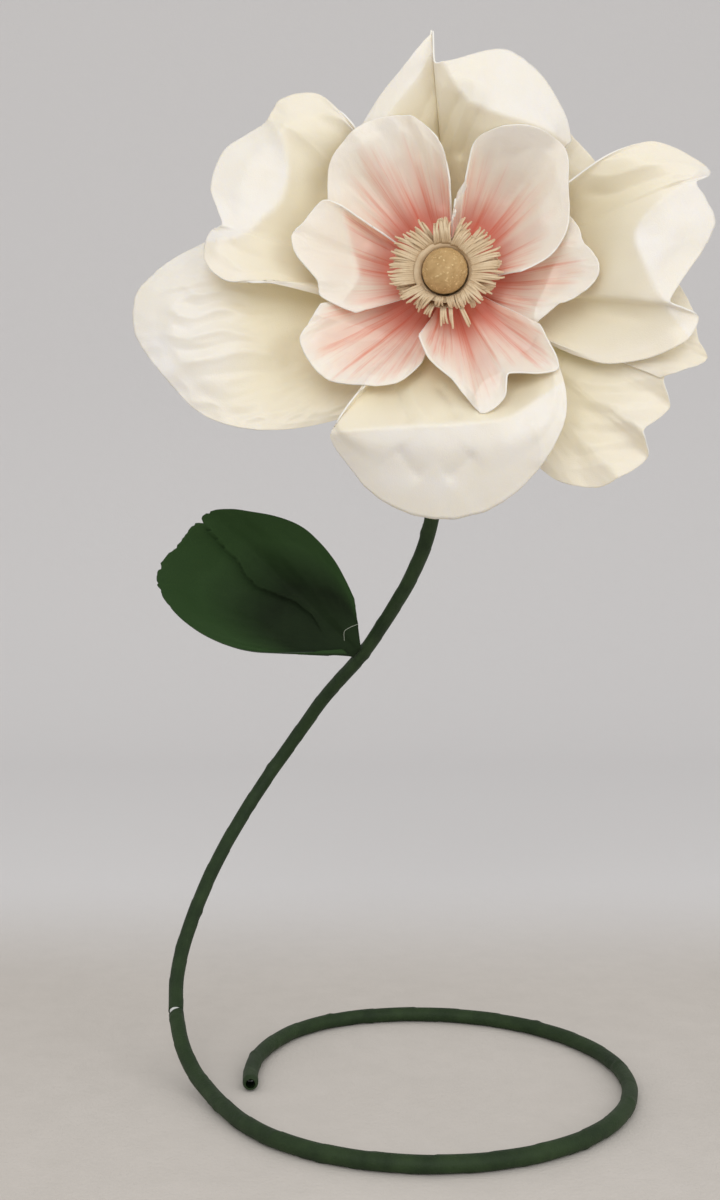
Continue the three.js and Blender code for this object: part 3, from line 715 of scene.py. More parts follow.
def lay_over(points):
    """Lifts a petal clear of those behind it, then adds it to the height map."""
    depth = PETAL_THICKNESS / np.maximum(facing(points), STEEPEST)
    behind = laid_heights[cells_of(points)]
    rise = np.maximum(behind + PETAL_GAP + depth - points[..., 2], 0)
    points[..., 2] += soften(spread_rise(rise, points))
    rows, columns = points.shape[:2]
    dense = finer(points, (columns - 1) * MAP_FINER, (rows - 1) * MAP_FINER).reshape(-1, 3)
    np.maximum.at(laid_heights, cells_of(dense), dense[:, 2])
    return points


# %% [markdown]
# ## Petals
#
# Each petal is cut from a thin sheet and shaped by hand, so each one has its own folds. A petal's
# folds are waves that run from the root to the rim, grow outward, and wander a little. Its rim has
# smaller waves, where the cut edge was stretched.

# %% Distance to a line drawn over a sheet
def distance_to_line(points, line):
    """Distance from each point of a grid to a line of straight stretches, its side, and how far
    along the line the nearest place is."""
    best = np.full(points.shape[:2], 10.0)
    side = np.zeros_like(best)
    place = np.zeros_like(best)
    corners = np.array(line)
    lengths = np.linalg.norm(np.diff(corners, axis=0), axis=1)
    starts = np.concatenate([[0], np.cumsum(lengths)])
    for a, b, start, length in zip(corners, corners[1:], starts, lengths):
        along = b - a
        share = np.clip((points - a) @ along / length ** 2, 0, 1)
        gap = points - (a + share[..., None] * along)
        far = np.linalg.norm(gap, axis=2)
        nearer = far < best
        best[nearer] = far[nearer]
        side[nearer] = np.sign(along[0] * gap[..., 1] - along[1] * gap[..., 0])[nearer]
        place[nearer] = ((start + share * length) / starts[-1])[nearer]
    return best, side, place


# %% [markdown]
# ## The folds of each petal
#
# Each petal lists its fold lines in millimetres in the bloom's frame, with their height and width.
# A lip is the crease where the rim rolls back, so it is a ridge. On the outer petals what lies
# outside it is painted paler, which is painted light on the rolled rim, and on the inner ones the
# coral stops short of it. A fade is a wide soft ridge whose outside is painted paler in the same
# way. A ridge and a valley are the pleats of the bowl, and they flatten toward their ends.
#
# Before the lines stands how the whole petal is waved: the number of soft folds and their height
# in millimetres, how far they skew, the height and number of the rim's waves, and the height of
# the wrinkles. The stain is how far coral soaks out from the root. What isn't said for a petal is
# the same for all petals of its kind.

# %% Fold lines of the outer petals, in laying order from the back
OUTER_LOOK = dict(folds=4, fold=1.2, skew=0.3, rim=0.9, rim_waves=4, wrinkle=0.7)
OUTER_LOOKS = [
    ("lower_right", dict(folds=5, fold=1.6, skew=0.9, wrinkle=0.8, seed=3), [
        ("ridge", 4.0, 13, [(139, -118), (185, -133), (262, -125)]),
        ("valley", 3.0, 9, [(144, -131), (189, -143), (262, -140)]),
        ("ridge", 3.5, 11, [(144, -146), (189, -156), (262, -153)]),
        ("valley", 3.0, 9, [(144, -158), (190, -166), (258, -162)]),
        ("ridge", 3.5, 11, [(144, -174), (190, -180), (255, -176)]),
        ("valley", 3.0, 9, [(148, -188), (190, -190), (245, -186)]),
        ("ridge", 4.0, 12, [(148, -206), (194, -202), (240, -200)]),
        ("valley", 3.0, 9, [(142, -218), (190, -212), (238, -208)]),
        ("ridge", 3.0, 11, [(136, -234), (185, -228), (225, -222)]),
    ]),
    ("left", dict(skew=-0.3, wrinkle=2.8, seed=5), [
        ("fade", 2.5, 36, [(-275, 2), (-258, -50), (-250, -88), (-272, -135), (-285, -173)]),
        ("ridge", 4.5, 6, [(-318, -6), (-294, -19), (-262, -12), (-232, -22)]),
        ("valley", 3.5, 5, [(-322, -20), (-298, -32), (-264, -24), (-236, -36)]),
        ("ridge", 5.0, 6, [(-340, -34), (-304, -47), (-268, -36), (-226, -48)]),
        ("valley", 3.5, 5, [(-336, -50), (-306, -60), (-270, -50), (-232, -62)]),
        ("ridge", 5.0, 7, [(-350, -62), (-309, -70), (-266, -62), (-222, -72)]),
        ("valley", 3.5, 6, [(-340, -80), (-300, -84), (-250, -74), (-215, -84)]),
        ("ridge", 4.5, 7, [(-330, -100), (-280, -96), (-240, -86), (-196, -96)]),
        ("valley", 3.0, 6, [(-312, -118), (-268, -112), (-200, -108)]),
    ]),
    ("right", dict(folds=5, fold=2.0, skew=0.2, wrinkle=0.5, seed=7), []),
    ("top_right", dict(folds=5, fold=2.0, skew=0.2, wrinkle=0.5, seed=9), []),
    ("top", dict(wrinkle=0.6, seed=11), [
        ("lip", 11.0, 20, [(-15, 240), (3, 224), (19, 197), (44, 176), (75, 163), (106, 154),
                           (150, 138)]),
        ("lip", 5.0, 16, [(-2, 268), (-21, 230), (-40, 206), (-58, 187), (-78, 165)]),
        ("valley", 8.0, 7, [(22, 198), (5, 176), (-10, 146)]),
        ("ridge", 5.0, 6, [(32, 190), (16, 166), (2, 142)]),
        ("valley", 7.0, 6, [(46, 180), (30, 160), (14, 134)]),
        ("ridge", 3.0, 7, [(4, 210), (-7, 191), (-18, 168)]),
        ("valley", 3.0, 8, [(-8, 214), (-20, 195), (-32, 172)]),
    ]),
    ("upper_left", dict(fold=1.4, seed=13), [
        ("lip", 10.0, 20, [(-210, 188), (-190, 157), (-185, 125), (-193, 90), (-216, 66),
                           (-238, 46), (-266, 41)]),
        ("ridge", 4.0, 12, [(-205, 181), (-177, 168), (-149, 145), (-133, 121)]),
        ("valley", 6.0, 12, [(-104, 172), (-123, 146), (-137, 124), (-151, 96)]),
        ("ridge", 4.0, 11, [(-290, 40), (-262, 24), (-236, 4), (-204, 4), (-157, -8)]),
        ("valley", 4.0, 10, [(-262, 46), (-240, 28), (-205, 20), (-165, 14)]),
    ]),
    ("upper_right", dict(skew=-0.3, wrinkle=0.5, seed=15), [
        ("lip", 8.0, 20, [(292, 103), (256, 73), (226, 48), (217, 26), (230, -9), (244, -36),
                          (262, -60)]),
        ("ridge", 5.0, 9, [(150, 106), (190, 98), (230, 106), (269, 108), (302, 100)]),
        ("valley", 6.0, 8, [(150, 92), (190, 82), (230, 90), (265, 95), (292, 96)]),
        ("ridge", 5.0, 10, [(134, -104), (178, -110), (223, -113), (254, -105), (285, -67)]),
    ]),
    ("bottom", dict(seed=17), [
        ("lip", 12.0, 20, [(-133, -190), (-89, -186), (-34, -183), (16, -181), (61, -178),
                           (86, -168), (112, -150)]),
        ("ridge", 4.0, 10, [(94, -172), (106, -189), (113, -217), (109, -239)]),
        ("valley", 5.5, 12, [(-56, -204), (-42, -226), (-26, -246)]),
        ("valley", 5.5, 11, [(37, -212), (21, -228), (0, -247)]),
        ("valley", 5.5, 5, [(-64, -127), (-50, -155), (-35, -182)]),
        ("ridge", 4.0, 5, [(-48, -127), (-34, -152), (-14, -180)]),
        ("valley", 5.5, 5, [(-14, -127), (4, -151), (18, -180)]),
        ("ridge", 6.0, 10, [(76, -118), (64, -140), (46, -160), (30, -174)]),
    ]),
]

# %% Fold lines of the inner petals
INNER_LOOK = dict(folds=6, fold=1.2, skew=0.2, rim=0.7, rim_waves=3, wrinkle=0.5)
INNER_LOOKS = [
    ("right", dict(folds=5, stain=1.15, seed=21), [
        ("ridge", 5.0, 10, [(132, 16), (118, -17), (106, -43), (104, -66)]),
        ("valley", 3.0, 7, [(70, -15), (97, -34), (112, -50)]),
    ]),
    ("top_right", dict(stain=0.92, seed=23), [
        ("ridge", 3.0, 8, [(60, 150), (62, 130), (50, 100), (36, 72)]),
        ("ridge", 2.5, 7, [(96, 101), (61, 71), (38, 45)]),
        ("ridge", 2.5, 7, [(126, 60), (88, 39), (52, 22)]),
        ("valley", 2.5, 6, [(112, 84), (76, 57), (46, 36)]),
    ]),
    ("lower_left", dict(fold=1.4, stain=1.3, seed=25), [
        ("ridge", 4.0, 9, [(-167, -44), (-134, -52), (-97, -60), (-62, -66)]),
        ("valley", 3.0, 7, [(-150, -70), (-110, -76), (-70, -72)]),
        ("valley", 3.0, 7, [(-96, -122), (-74, -98), (-54, -72)]),
    ]),
    ("top_left", dict(stain=0.95, seed=27), [
        ("ridge", 2.5, 8, [(-34, 140), (-24, 103), (-19, 71)]),
        ("valley", 2.5, 7, [(-54, 138), (-42, 100), (-30, 68)]),
        ("ridge", 2.5, 8, [(-80, 132), (-59, 95), (-40, 63)]),
        ("valley", 2.5, 7, [(-104, 124), (-76, 88), (-48, 56)]),
        ("ridge", 2.5, 8, [(-124, 108), (-87, 78), (-54, 49)]),
        ("valley", 4.0, 7, [(2, 136), (0, 112), (-6, 76)]),
    ]),
    ("bottom", dict(fold=1.4, stain=1.2, seed=29), [
        ("ridge", 6.0, 8, [(-35, -48), (-26, -82), (-8, -112), (8, -124)]),
        ("valley", 5.0, 9, [(112, -66), (101, -88), (88, -98), (100, -112), (129, -119)]),
        ("ridge", 5.0, 9, [(72, -118), (45, -133), (33, -160)]),
        ("valley", 2.5, 6, [(20, -64), (34, -96), (44, -122)]),
        ("ridge", 2.5, 6, [(36, -60), (56, -88), (72, -108)]),
    ]),
    ("left", dict(stain=1.0, seed=31), [
        ("lip", 7.0, 12, [(-126, 96), (-117, 60), (-110, 27), (-104, 0), (-120, -30)]),
        ("valley", 4.0, 8, [(-108, 76), (-82, 49), (-59, 26)]),
        ("ridge", 3.0, 8, [(-100, 42), (-76, 22), (-56, 6)]),
    ]),
]
print("petals listed:", len(OUTER_LOOKS) + len(INNER_LOOKS))

# %% Folds of one petal
PETAL_ACROSS = 130
PETAL_OUT = 84
LINE_STEPS = 25
PIGMENT_BLUR = 6
SIDE_REACH = 0.03
RIM_CUT = 0.018


def fold_heights(across, out, folds, fold, skew, rim, rim_waves, wrinkle, seed):
    """Height of the soft folds all over a petal, in metres."""
    u, v = np.meshgrid(across, out)
    drift = wander(across, out, 2.5, 1.8, seed)
    waves = np.sin(2 * np.pi * (folds * u + skew * v + 0.35 * drift))
    strength = 0.55 + 0.45 * wander(across, out, 3.0, 1.2, seed + 40)
    heights = fold * MM * waves * strength * eased(v, 0.28, 0.75)
    rim_drift = wander(across, out, 6.0, 1.0, seed + 60)
    rim_wave = np.sin(2 * np.pi * (rim_waves * u + 0.6 * rim_drift)) * (0.6 + 0.4 * drift)
    heights += rim * MM * rim_wave * eased(v, 0.70, 1.0) * inside_ends(u)
    creased = 0.4 - np.abs(wander(across, out, 19, 5, seed + 80))
    heights += wrinkle * MM * creased * eased(v, 0.3, 0.7)
    return heights


def line_heights(points, out, lines):
    """Height of a petal's fold lines over its grid, and the share of lip at each point."""
    heights = np.zeros(points.shape[:2])
    lip = np.zeros_like(heights)
    outward = np.broadcast_to(out[:, None], heights.shape)
    for kind, rise, width, line in lines:
        curve = between(np.array(line) * MM, np.linspace(0, 1, LINE_STEPS))
        away, side, place = distance_to_line(points[..., :2], curve)
        shape = rise * MM * np.exp(-away / (width * MM))
        # The side beyond a lip or fade line gets the lip share: painted light on the outer petals,
        # and where the coral stops on the inner ones.
        if kind in ("lip", "fade"):
            blur = PIGMENT_BLUR if kind == "lip" else width
            near = away < SIDE_REACH
            rim_side = np.sign(
                outward[near & (side > 0)].mean() - outward[near & (side < 0)].mean()
            )
            beyond = away * side * rim_side / MM
            lip = np.maximum(lip, eased(beyond, -blur, blur))
        else:
            shape *= inside_ends(place)
        heights += -shape if kind == "valley" else shape
    return heights * eased(outward, 0.2, 0.45), lip


def stained(across, out, lip, stain, seed):
    """How far the coral has soaked in at each point: from the root out, unevenly, not on a lip."""
    uneven = 0.14 * wander(across, out, 8, 1.0, seed + 90)
    uneven += 0.07 * wander(across, out, 30, 1.0, seed + 95)
    share = 1 - eased((out[:, None] + uneven) / max(stain, MM), 0.30, 0.78)
    return share * (1 - 0.9 * lip) * 0.85


def rim_reach(across, amount, seed):
    """How far out each column is cut, close to 1, so that the rim isn't a perfect curve."""
    wide = [noise.noise(Vector((u * 9 + seed * 3.7, seed, 0))) for u in across]
    fine = [noise.noise(Vector((u * 42 + seed * 1.9, 0, seed))) for u in across]
    cut_back = 0.5 + 0.9 * np.array(wide) + 0.3 * np.array(fine)
    return 1 - amount * inside_ends(across) * cut_back


# %% Build one petal
def make_petal(name, look, lines, material):
    middle = Vector((0, 0, HUB_FRONT))
    rows = clockwise(front_rows(name, TO_BLOOM, middle))
    across = np.linspace(0, 1, PETAL_ACROSS + 1)
    out = np.linspace(0, 1, PETAL_OUT + 1)
    reach = rim_reach(across, RIM_CUT, look["seed"])
    points = unfolded(finer(rows, PETAL_ACROSS, PETAL_OUT, reach))
    creases, lip = line_heights(points, out, lines)
    stain = stained(across, out, lip, look.pop("stain", 0), look["seed"])
    points[..., 2] += fold_heights(across, out, **look) + creases
    points = lay_over(points)
    bm = new_sheet()
    lip_light_layer = bm.verts.layers.float.new("lip")
    stain_layer = bm.verts.layers.float.new("stain")
    for vert, i, j in add_grid(bm, PETAL_ACROSS, PETAL_OUT):
        vert.co = FROM_BLOOM @ Vector(points[j, i])
        # The lip share goes to the shader as the mask of painted light on the lips.
        vert[lip_light_layer] = lip[j, i]
        vert[stain_layer] = stain[j, i]
    piece = make_piece(name + "_sheet", bm, name, [material, PETAL_EDGE])
    add_thickness(piece, PETAL_THICKNESS, rim_slot=1)


for title, own, lines in OUTER_LOOKS:
    make_petal("outer_petal_" + title, {**OUTER_LOOK, **own}, lines, PETAL_CREAM)
for title, own, lines in INNER_LOOKS:
    make_petal("inner_petal_" + title, {**INNER_LOOK, **own}, lines, PETAL_BLUSH)

# %% [markdown]
# ## Turned pieces of the middle
#
# The hub, the cups of the fringes and the ball are round about the bloom's axis. A profile is
# drawn on one side of the axis and spun round it, which is how a lathe works.

# %% Spin a profile round the bloom's axis
def spun(bm, profile, steps=72):
    """Adds the surface of a profile of radius and height, spun round the bloom's axis."""
    verts = [bm.verts.new((radius, 0, height)) for radius, height in profile]
    edges = [bm.edges.new(pair) for pair in zip(verts, verts[1:])]
    before = set(bm.verts) - set(verts)
    bmesh.ops.spin(
        bm, geom=verts + edges, cent=(0, 0, 0), axis=(0, 0, 1), angle=2 * math.pi,
        steps=steps, use_merge=True, use_duplicate=False,
    )
    made = [vert for vert in bm.verts if vert not in before]
    bmesh.ops.remove_doubles(bm, verts=made, dist=SEAM)


# %% Hub behind the petals
CLEARANCE = 0.0003
HUB_RADIUS = 0.062
HUB_THICKNESS = 0.006
HUB_BACK = HUB_FRONT - HUB_THICKNESS
SOCKET_RADIUS = 0.018
SOCKET_BORE = 0.0088
SOCKET_MOUTH = HUB_BACK - 0.028
SOCKET_END = HUB_BACK - 0.004
POST_RADIUS = 0.013
BALL_RADIUS = 0.0268
BALL_HEIGHT = HUB_FRONT + 0.072
BALL_SEAT_RADIUS = 0.012
BALL_SEAT = BALL_HEIGHT - math.sqrt(BALL_RADIUS ** 2 - BALL_SEAT_RADIUS ** 2)
EDGE_ROUNDING = 0.0012
SHARP_ANGLE = 0.5

hub = bmesh.new()
spun(hub, [
    (0, SOCKET_END), (SOCKET_BORE, SOCKET_END), (SOCKET_BORE, SOCKET_MOUTH),
    (SOCKET_RADIUS, SOCKET_MOUTH), (HUB_RADIUS, HUB_BACK), (HUB_RADIUS, HUB_FRONT),
    (POST_RADIUS, HUB_FRONT), (POST_RADIUS, BALL_SEAT - CLEARANCE), (0, BALL_SEAT - CLEARANCE),
])
sharp = [
    edge for edge in hub.edges
    if len(edge.link_faces) == 2 and edge.calc_face_angle() > SHARP_ANGLE
]
bmesh.ops.bevel(
    hub, geom=sharp, offset=EDGE_ROUNDING, affect="EDGES", segments=2, profile=0.5, material=-1,
)
bmesh.ops.recalc_face_normals(hub, faces=hub.faces)
bmesh.ops.transform(hub, matrix=FROM_BLOOM, verts=hub.verts)
make_piece("hub_body", hub, "petal_hub", [HUB_FOAM])

# %% Glittered ball
BALL_RELIEF = 0.0009
ROUGH_SCALE = 130
CRUST_SCALE = 420

ball = bmesh.new()
bmesh.ops.create_icosphere(ball, subdivisions=6, radius=BALL_RADIUS)
for vert in ball.verts:
    normal = vert.co.normalized()
    rough = noise.fractal(vert.co * ROUGH_SCALE, 0.8, 2.1, 4)
    crust = max(noise.noise(vert.co * CRUST_SCALE), 0) * (0.5 + max(normal.x + normal.y, 0))
    vert.co += normal * BALL_RELIEF * (0.5 * rough + 0.9 * crust - 0.5)
    vert.co.z = max(vert.co.z + BALL_HEIGHT, BALL_SEAT)
bmesh.ops.transform(ball, matrix=FROM_BLOOM, verts=ball.verts)
make_piece("glitter_ball", ball, "centre_ball", [BALL_GLITTER])

# %% [markdown]
# ## Fringes round the ball
#
# A fringe is a strip that is cut into strands along one side, rolled round the ball and bent
# outward. Its uncut part makes a collar. The strip was cut into tabs first, some of them wide, and
# each tab was then cut into strands, so the strands of a tab run side by side and only their ends
# curl apart.

# %% Strands of a fringe
STRAND_WIDTH = 0.0027
STRAND_PITCH = 0.0021
STRAND_STEPS = 12
STRAND_HOLLOW = 0.0004
FRINGE_SHEET = 0.0007
TAB_SPREAD = 0.5
CURL_FROM = 0.72
TIP_CURL = 0.006


def strand_path(fringe, tab, offset, rng):
    """Points of one strand from the collar to its curled end, in the bloom's frame."""
    direction, _, start, reach, skew, lift, droop = tab
    middle = math.radians(direction)
    angle = middle + offset / (start * MM)
    heading = middle + TAB_SPREAD * (angle - middle) + math.radians(skew + rng.uniform(-2.5, 2.5))
    base = Vector((math.cos(angle), math.sin(angle), 0)) * start * MM
    ahead = Vector((math.cos(heading), math.sin(heading), 0))
    aside = Vector((-ahead.y, ahead.x, 0))
    run = reach * MM * rng.uniform(0.84, 1.08)
    stray = rng.uniform(-0.0024, 0.0024)
    lift = (lift + rng.uniform(-0.6, 0.6)) * MM
    curl = rng.uniform(-0.4, 1.0) * TIP_CURL
    points = []
    for k in range(STRAND_STEPS + 1):
        s = k / STRAND_STEPS
        height = fringe["top"] + lift * math.sin(math.pi * min(s * 1.1, 1)) - droop * MM * s ** 2
        curled = max(s - CURL_FROM, 0) / (1 - CURL_FROM)
        height += curl * curled ** 2
        tucked = 1 - 0.10 * curled
        points.append(
            base + ahead * run * s * tucked + aside * stray * s ** 3 + Vector((0, 0, height))
        )
    return points, aside


def add_strand(bm, points, aside):
    """Adds a ribbon along a path. It is a little hollow across, as cut strips are."""
    for vert, column, k in add_grid(bm, 2, STRAND_STEPS):
        side = column - 1
        ahead = points[min(k + 1, STRAND_STEPS)] - points[max(k - 1, 0)]
        up = ahead.cross(aside).normalized()
        narrowing = 1 - 0.35 * max(k / STRAND_STEPS - 0.8, 0) / 0.2
        hollow = STRAND_HOLLOW * (0.5 - abs(side))
        vert.co = points[k] + aside * side * STRAND_WIDTH / 2 * narrowing + up * hollow


def make_fringe(name, node_name, fringe):
    rng = random.Random(fringe["seed"])
    bm = new_sheet()
    spun(bm, fringe["collar"])
    bmesh.ops.recalc_face_normals(bm, faces=bm.faces)
    for tab in fringe["tabs"]:
        count = tab[1]
        for k in range(count):
            offset = (k - (count - 1) / 2) * STRAND_PITCH
            points, aside = strand_path(fringe, tab, offset, rng)
            add_strand(bm, points, aside)
    bmesh.ops.transform(bm, matrix=FROM_BLOOM, verts=bm.verts)
    piece = make_piece(name, bm, node_name, [STAMEN])
    add_thickness(piece, FRINGE_SHEET).offset = 0


# %% [markdown]
# The tabs are listed from the photo: direction in degrees from the right, number of strands, start
# and reach in millimetres, skew in degrees, then lift and droop in millimetres. The wide tabs lie
# to the left and the right, and a few strands of the lower tier hang out singly below the ball.

# %% Inner and outer tiers
INNER_TOP = HUB_FRONT + 0.070
INNER_FLOOR = HUB_FRONT + 0.034
OUTER_TOP = HUB_FRONT + 0.060
OUTER_FLOOR = HUB_FRONT + 0.030

make_fringe("stamens_inner", "stamen_fringe_inner", dict(
    top=INNER_TOP, seed=4,
    collar=[
        (POST_RADIUS + CLEARANCE, INNER_FLOOR), (0.0235, INNER_FLOOR),
        (0.0268, INNER_FLOOR + 0.004), (0.0275, INNER_TOP - 0.012),
        (0.0280, INNER_TOP - 0.006), (0.0292, INNER_TOP - 0.002),
        (0.0320, INNER_TOP), (0.0365, INNER_TOP + 0.0005),
    ],
    tabs=[
        (178, 14, 36.5, 33, 0, 3, 3), (146, 9, 36.0, 38, 8, 4, 1), (122, 7, 35.0, 32, 22, 6, 0),
        (103, 5, 33.0, 30, -14, 8, 0), (86, 5, 32.0, 33, 10, 9, 1), (68, 5, 31.0, 28, -12, 7, 3),
        (49, 6, 30.0, 26, -8, 5, 3), (24, 13, 30.5, 41, -4, 4, 2), (-6, 8, 30.0, 42, 4, 5, 2),
        (-30, 7, 30.0, 28, -8, 5, 3), (-54, 7, 30.0, 19, -16, 5, 3), (-80, 4, 29.5, 16, 6, 4, 4),
        (-100, 4, 29.5, 12, -8, 6, 3), (-122, 5, 30.0, 22, -14, 5, 3),
        (-143, 6, 31.0, 30, -10, 5, 2),
    ],
))
make_fringe("stamens_outer", "stamen_fringe_outer", dict(
    top=OUTER_TOP, seed=8,
    collar=[
        (POST_RADIUS + CLEARANCE, OUTER_FLOOR), (0.0300, OUTER_FLOOR),
        (0.0345, OUTER_FLOOR + 0.004), (0.0360, OUTER_TOP - 0.008),
        (0.0378, OUTER_TOP - 0.002), (0.0410, OUTER_TOP),
    ],
    tabs=[
        (196, 7, 38, 25, 6, 4, 2), (162, 7, 38, 28, 0, 4, 2), (133, 5, 38, 30, -10, 6, 1),
        (112, 4, 38, 34, 12, 9, 0), (93, 4, 38, 31, -8, 9, 0), (72, 4, 38, 33, -10, 9, 0),
        (40, 7, 38, 31, 8, 5, 1), (8, 6, 38, 30, -6, 5, 1), (-20, 6, 38, 25, 4, 4, 1),
        (-45, 4, 38, 17, -8, 4, 2), (-66, 2, 38, 38, 0, 6, 0), (-81, 2, 38, 30, -6, 6, 0),
        (-94, 3, 38, 26, 4, 6, 0), (-112, 3, 38, 20, -10, 5, 0), (-132, 4, 38, 18, 4, 4, 1),
        (-155, 6, 38, 25, -6, 4, 2),
    ],
))

# %% [markdown]
# ## Stem
#
# The stem is a white pipe wound with green tape. The construction model has it as coarse tubes.
# The middle of each ring of points gives the pipe's route, and a smooth round tube is swept along
# it. The tape's overlap is a small step that runs round the tube in a spiral.

# %% Read the route of a coarse tube
CAP_ANGLE = 1.2
END_RING_WITHIN = 0.025
ROUTE_FINER = 24


def tube_route(name):
    """Middle points of a coarse tube's rings, from its lower end to its upper one."""
    bm = bmesh.new()
    bm.from_mesh(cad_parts[name].data)
    bmesh.ops.remove_doubles(bm, verts=bm.verts, dist=SAME_POINT)
    cap = {
        vert for edge in bm.edges for vert in edge.verts
        if len(edge.link_faces) == 2 and edge.calc_face_angle() > CAP_ANGLE
    }
    lowest = min(cap, key=lambda vert: vert.co.z)
    ring = {vert for vert in cap if (vert.co - lowest.co).length < END_RING_WITHIN}
    seen = set(ring)
    route = []
    while ring:
        route.append(sum((vert.co for vert in ring), Vector()) / len(ring))
        ring = {edge.other_vert(vert) for vert in ring for edge in vert.link_edges} - seen
        seen |= ring
    bm.free()
    return np.array(route)


def along_route(route, step):
    """Evenly spaced points along a smooth curve through the route, with their distances."""
    dense = between(route, np.linspace(0, 1, len(route) * ROUTE_FINER))
    lengths = np.linalg.norm(np.diff(dense, axis=0), axis=1)
    distances = np.concatenate([[0], np.cumsum(lengths)])
    count = round(distances[-1] / step)
    at = np.linspace(0, distances[-1], count + 1)
    points = np.stack([np.interp(at, distances, dense[:, k]) for k in range(3)], axis=1)
    return points, at


def swept_frames(points):
    """A direction and a side for each point of a route, without twist."""
    tangents = np.gradient(points, axis=0)
    tangents /= np.linalg.norm(tangents, axis=1)[:, None]
    side = np.array([0.0, 0.0, -1.0])
    sides = []
    for tangent in tangents:
        side = side - tangent * side.dot(tangent)
        side /= np.linalg.norm(side)
        sides.append(side)
    sides = np.array(sides)
    return tangents, sides, np.cross(tangents, sides)


# %% Sweep a tube whose radius and ends may change round it
def add_tube(bm, points, distances, radius_at, shift_at=None, around=28):
    """Adds an open tube. radius_at takes distances and angles, and shift_at distances and the
    outward directions, all in arrays."""
    tangents, sides, crosses = swept_frames(points)
    turn = np.linspace(0, 2 * np.pi, around + 1)
    angle, distance = np.meshgrid(turn, distances)
    radius = radius_at(distance, angle)
    ring = sides[:, None] * np.cos(angle)[..., None] + crosses[:, None] * np.sin(angle)[..., None]
    shift = np.zeros_like(radius) if shift_at is None else shift_at(distance, ring)
    place = points[:, None] + ring * radius[..., None] + tangents[:, None] * shift[..., None]
    made = add_grid(bm, around, len(points) - 1)
    for vert, i, j in made:
        vert.co = place[j, i % around]
    bmesh.ops.remove_doubles(bm, verts=[vert for vert, _, _ in made], dist=SEAM)


def even(radius):
    """A radius that is the same all along a tube and all round it."""
    return lambda distance, angle: np.full_like(distance, radius)


# %% Taped sleeves
TUBE_RADIUS = 0.010
WRAP_SHEET = 0.0016
TAPE_PITCH = 0.062
TAPE_STEP = 0.0006
TAPE_LUMP = 0.0011
LUMP_LENGTH = 0.005
TUBE_FINE_STEP = 0.003


def taped_radius(distance, angle):
    """Outer radius of the taped stem: it grows over each turn of tape, drops at the seam, and has
    a lump where the tape was pinched."""
    turns = (distance / TAPE_PITCH + angle / (2 * np.pi)) % 1
    lumps = np.abs(distance % TAPE_PITCH - TAPE_PITCH / 2) / LUMP_LENGTH
    pinched = np.maximum(np.cos(angle - 2.4 * np.floor(distance / TAPE_PITCH)), 0) ** 4
    return TUBE_RADIUS + TAPE_STEP * (turns - 1) + TAPE_LUMP * pinched * np.exp(-lumps ** 2)


def make_sleeve(name, node_name, radius_at, end_shift):
    points, distances = along_route(tube_route(node_name), TUBE_FINE_STEP)
    bm = new_sheet()
    add_tube(bm, points, distances, radius_at, end_shift)
    for vert in bm.verts:
        vert.co.z = max(vert.co.z, 0)
    bmesh.ops.recalc_face_normals(bm, faces=bm.faces)
    add_thickness(make_piece(name, bm, node_name, [TAPE_GREEN]), WRAP_SHEET)


# %% [markdown]
# The tape of the lower sleeve is tucked over the free end, so it narrows there. The two sleeves
# part only at the front left of the stem, where a slanted patch of the white pipe shows.

# %% Ends of the sleeves
MOUTH_SHARE = 0.74
MOUTH_REACH = 0.006
BREAK_TOWARD = np.array([-0.6, -0.8, 0.0])
BREAK_REACH = 0.03
LOWER_SHIFT = -0.0040
LOWER_SLANT = -0.0025
UPPER_SHIFT = -0.0068
UPPER_SLANT = 0.0012


def tucked_radius(distance, angle):
    share = MOUTH_SHARE + (1 - MOUTH_SHARE) * eased(distance, 0, MOUTH_REACH)
    return taped_radius(distance, angle) * share


def lower_end(distance, ring):
    shift = LOWER_SHIFT + LOWER_SLANT * (ring @ BREAK_TOWARD)
    return shift * eased(distance, distance.max() - BREAK_REACH, distance.max())


def upper_end(distance, ring):
    shift = UPPER_SHIFT + UPPER_SLANT * (ring @ BREAK_TOWARD)
    return shift * (1 - eased(distance, 0, BREAK_REACH))


make_sleeve("sleeve_lower", "lower_wrap", tucked_radius, lower_end)
make_sleeve("sleeve_upper", "upper_wrap", taped_radius, upper_end)

# %% Pipe inside the sleeves
PIPE_RADIUS = 0.008
PIPE_WALL = 0.002
PIPE_SETBACK = 0.030
SETBACK_REACH = 0.09

pipe_points, pipe_distances = along_route(tube_route("core_pipe"), TUBE_FINE_STEP)
pipe = new_sheet()
add_tube(
    pipe, pipe_points, pipe_distances, even(PIPE_RADIUS),
    lambda s, ring: PIPE_SETBACK * (1 - eased(s, 0, SETBACK_REACH)),
)
bmesh.ops.recalc_face_normals(pipe, faces=pipe.faces)
# The inner wall of the pipe takes the second, near-black finish, which is painted shade in the
# bore.
pipe_piece = make_piece("white_pipe", pipe, "core_pipe", [PIPE_WHITE, PIPE_BORE_PAINTED_SHADE])
add_thickness(pipe_piece, PIPE_WALL).material_offset = 1

# %% [markdown]
# ## Leaf
#
# The leaf is one dark sheet with a fold along its middle. Its end is torn, with teeth and a deep
# notch where the fold meets the edge. It is drawn on a net in the same way as a petal, but in a
# frame that faces the front.

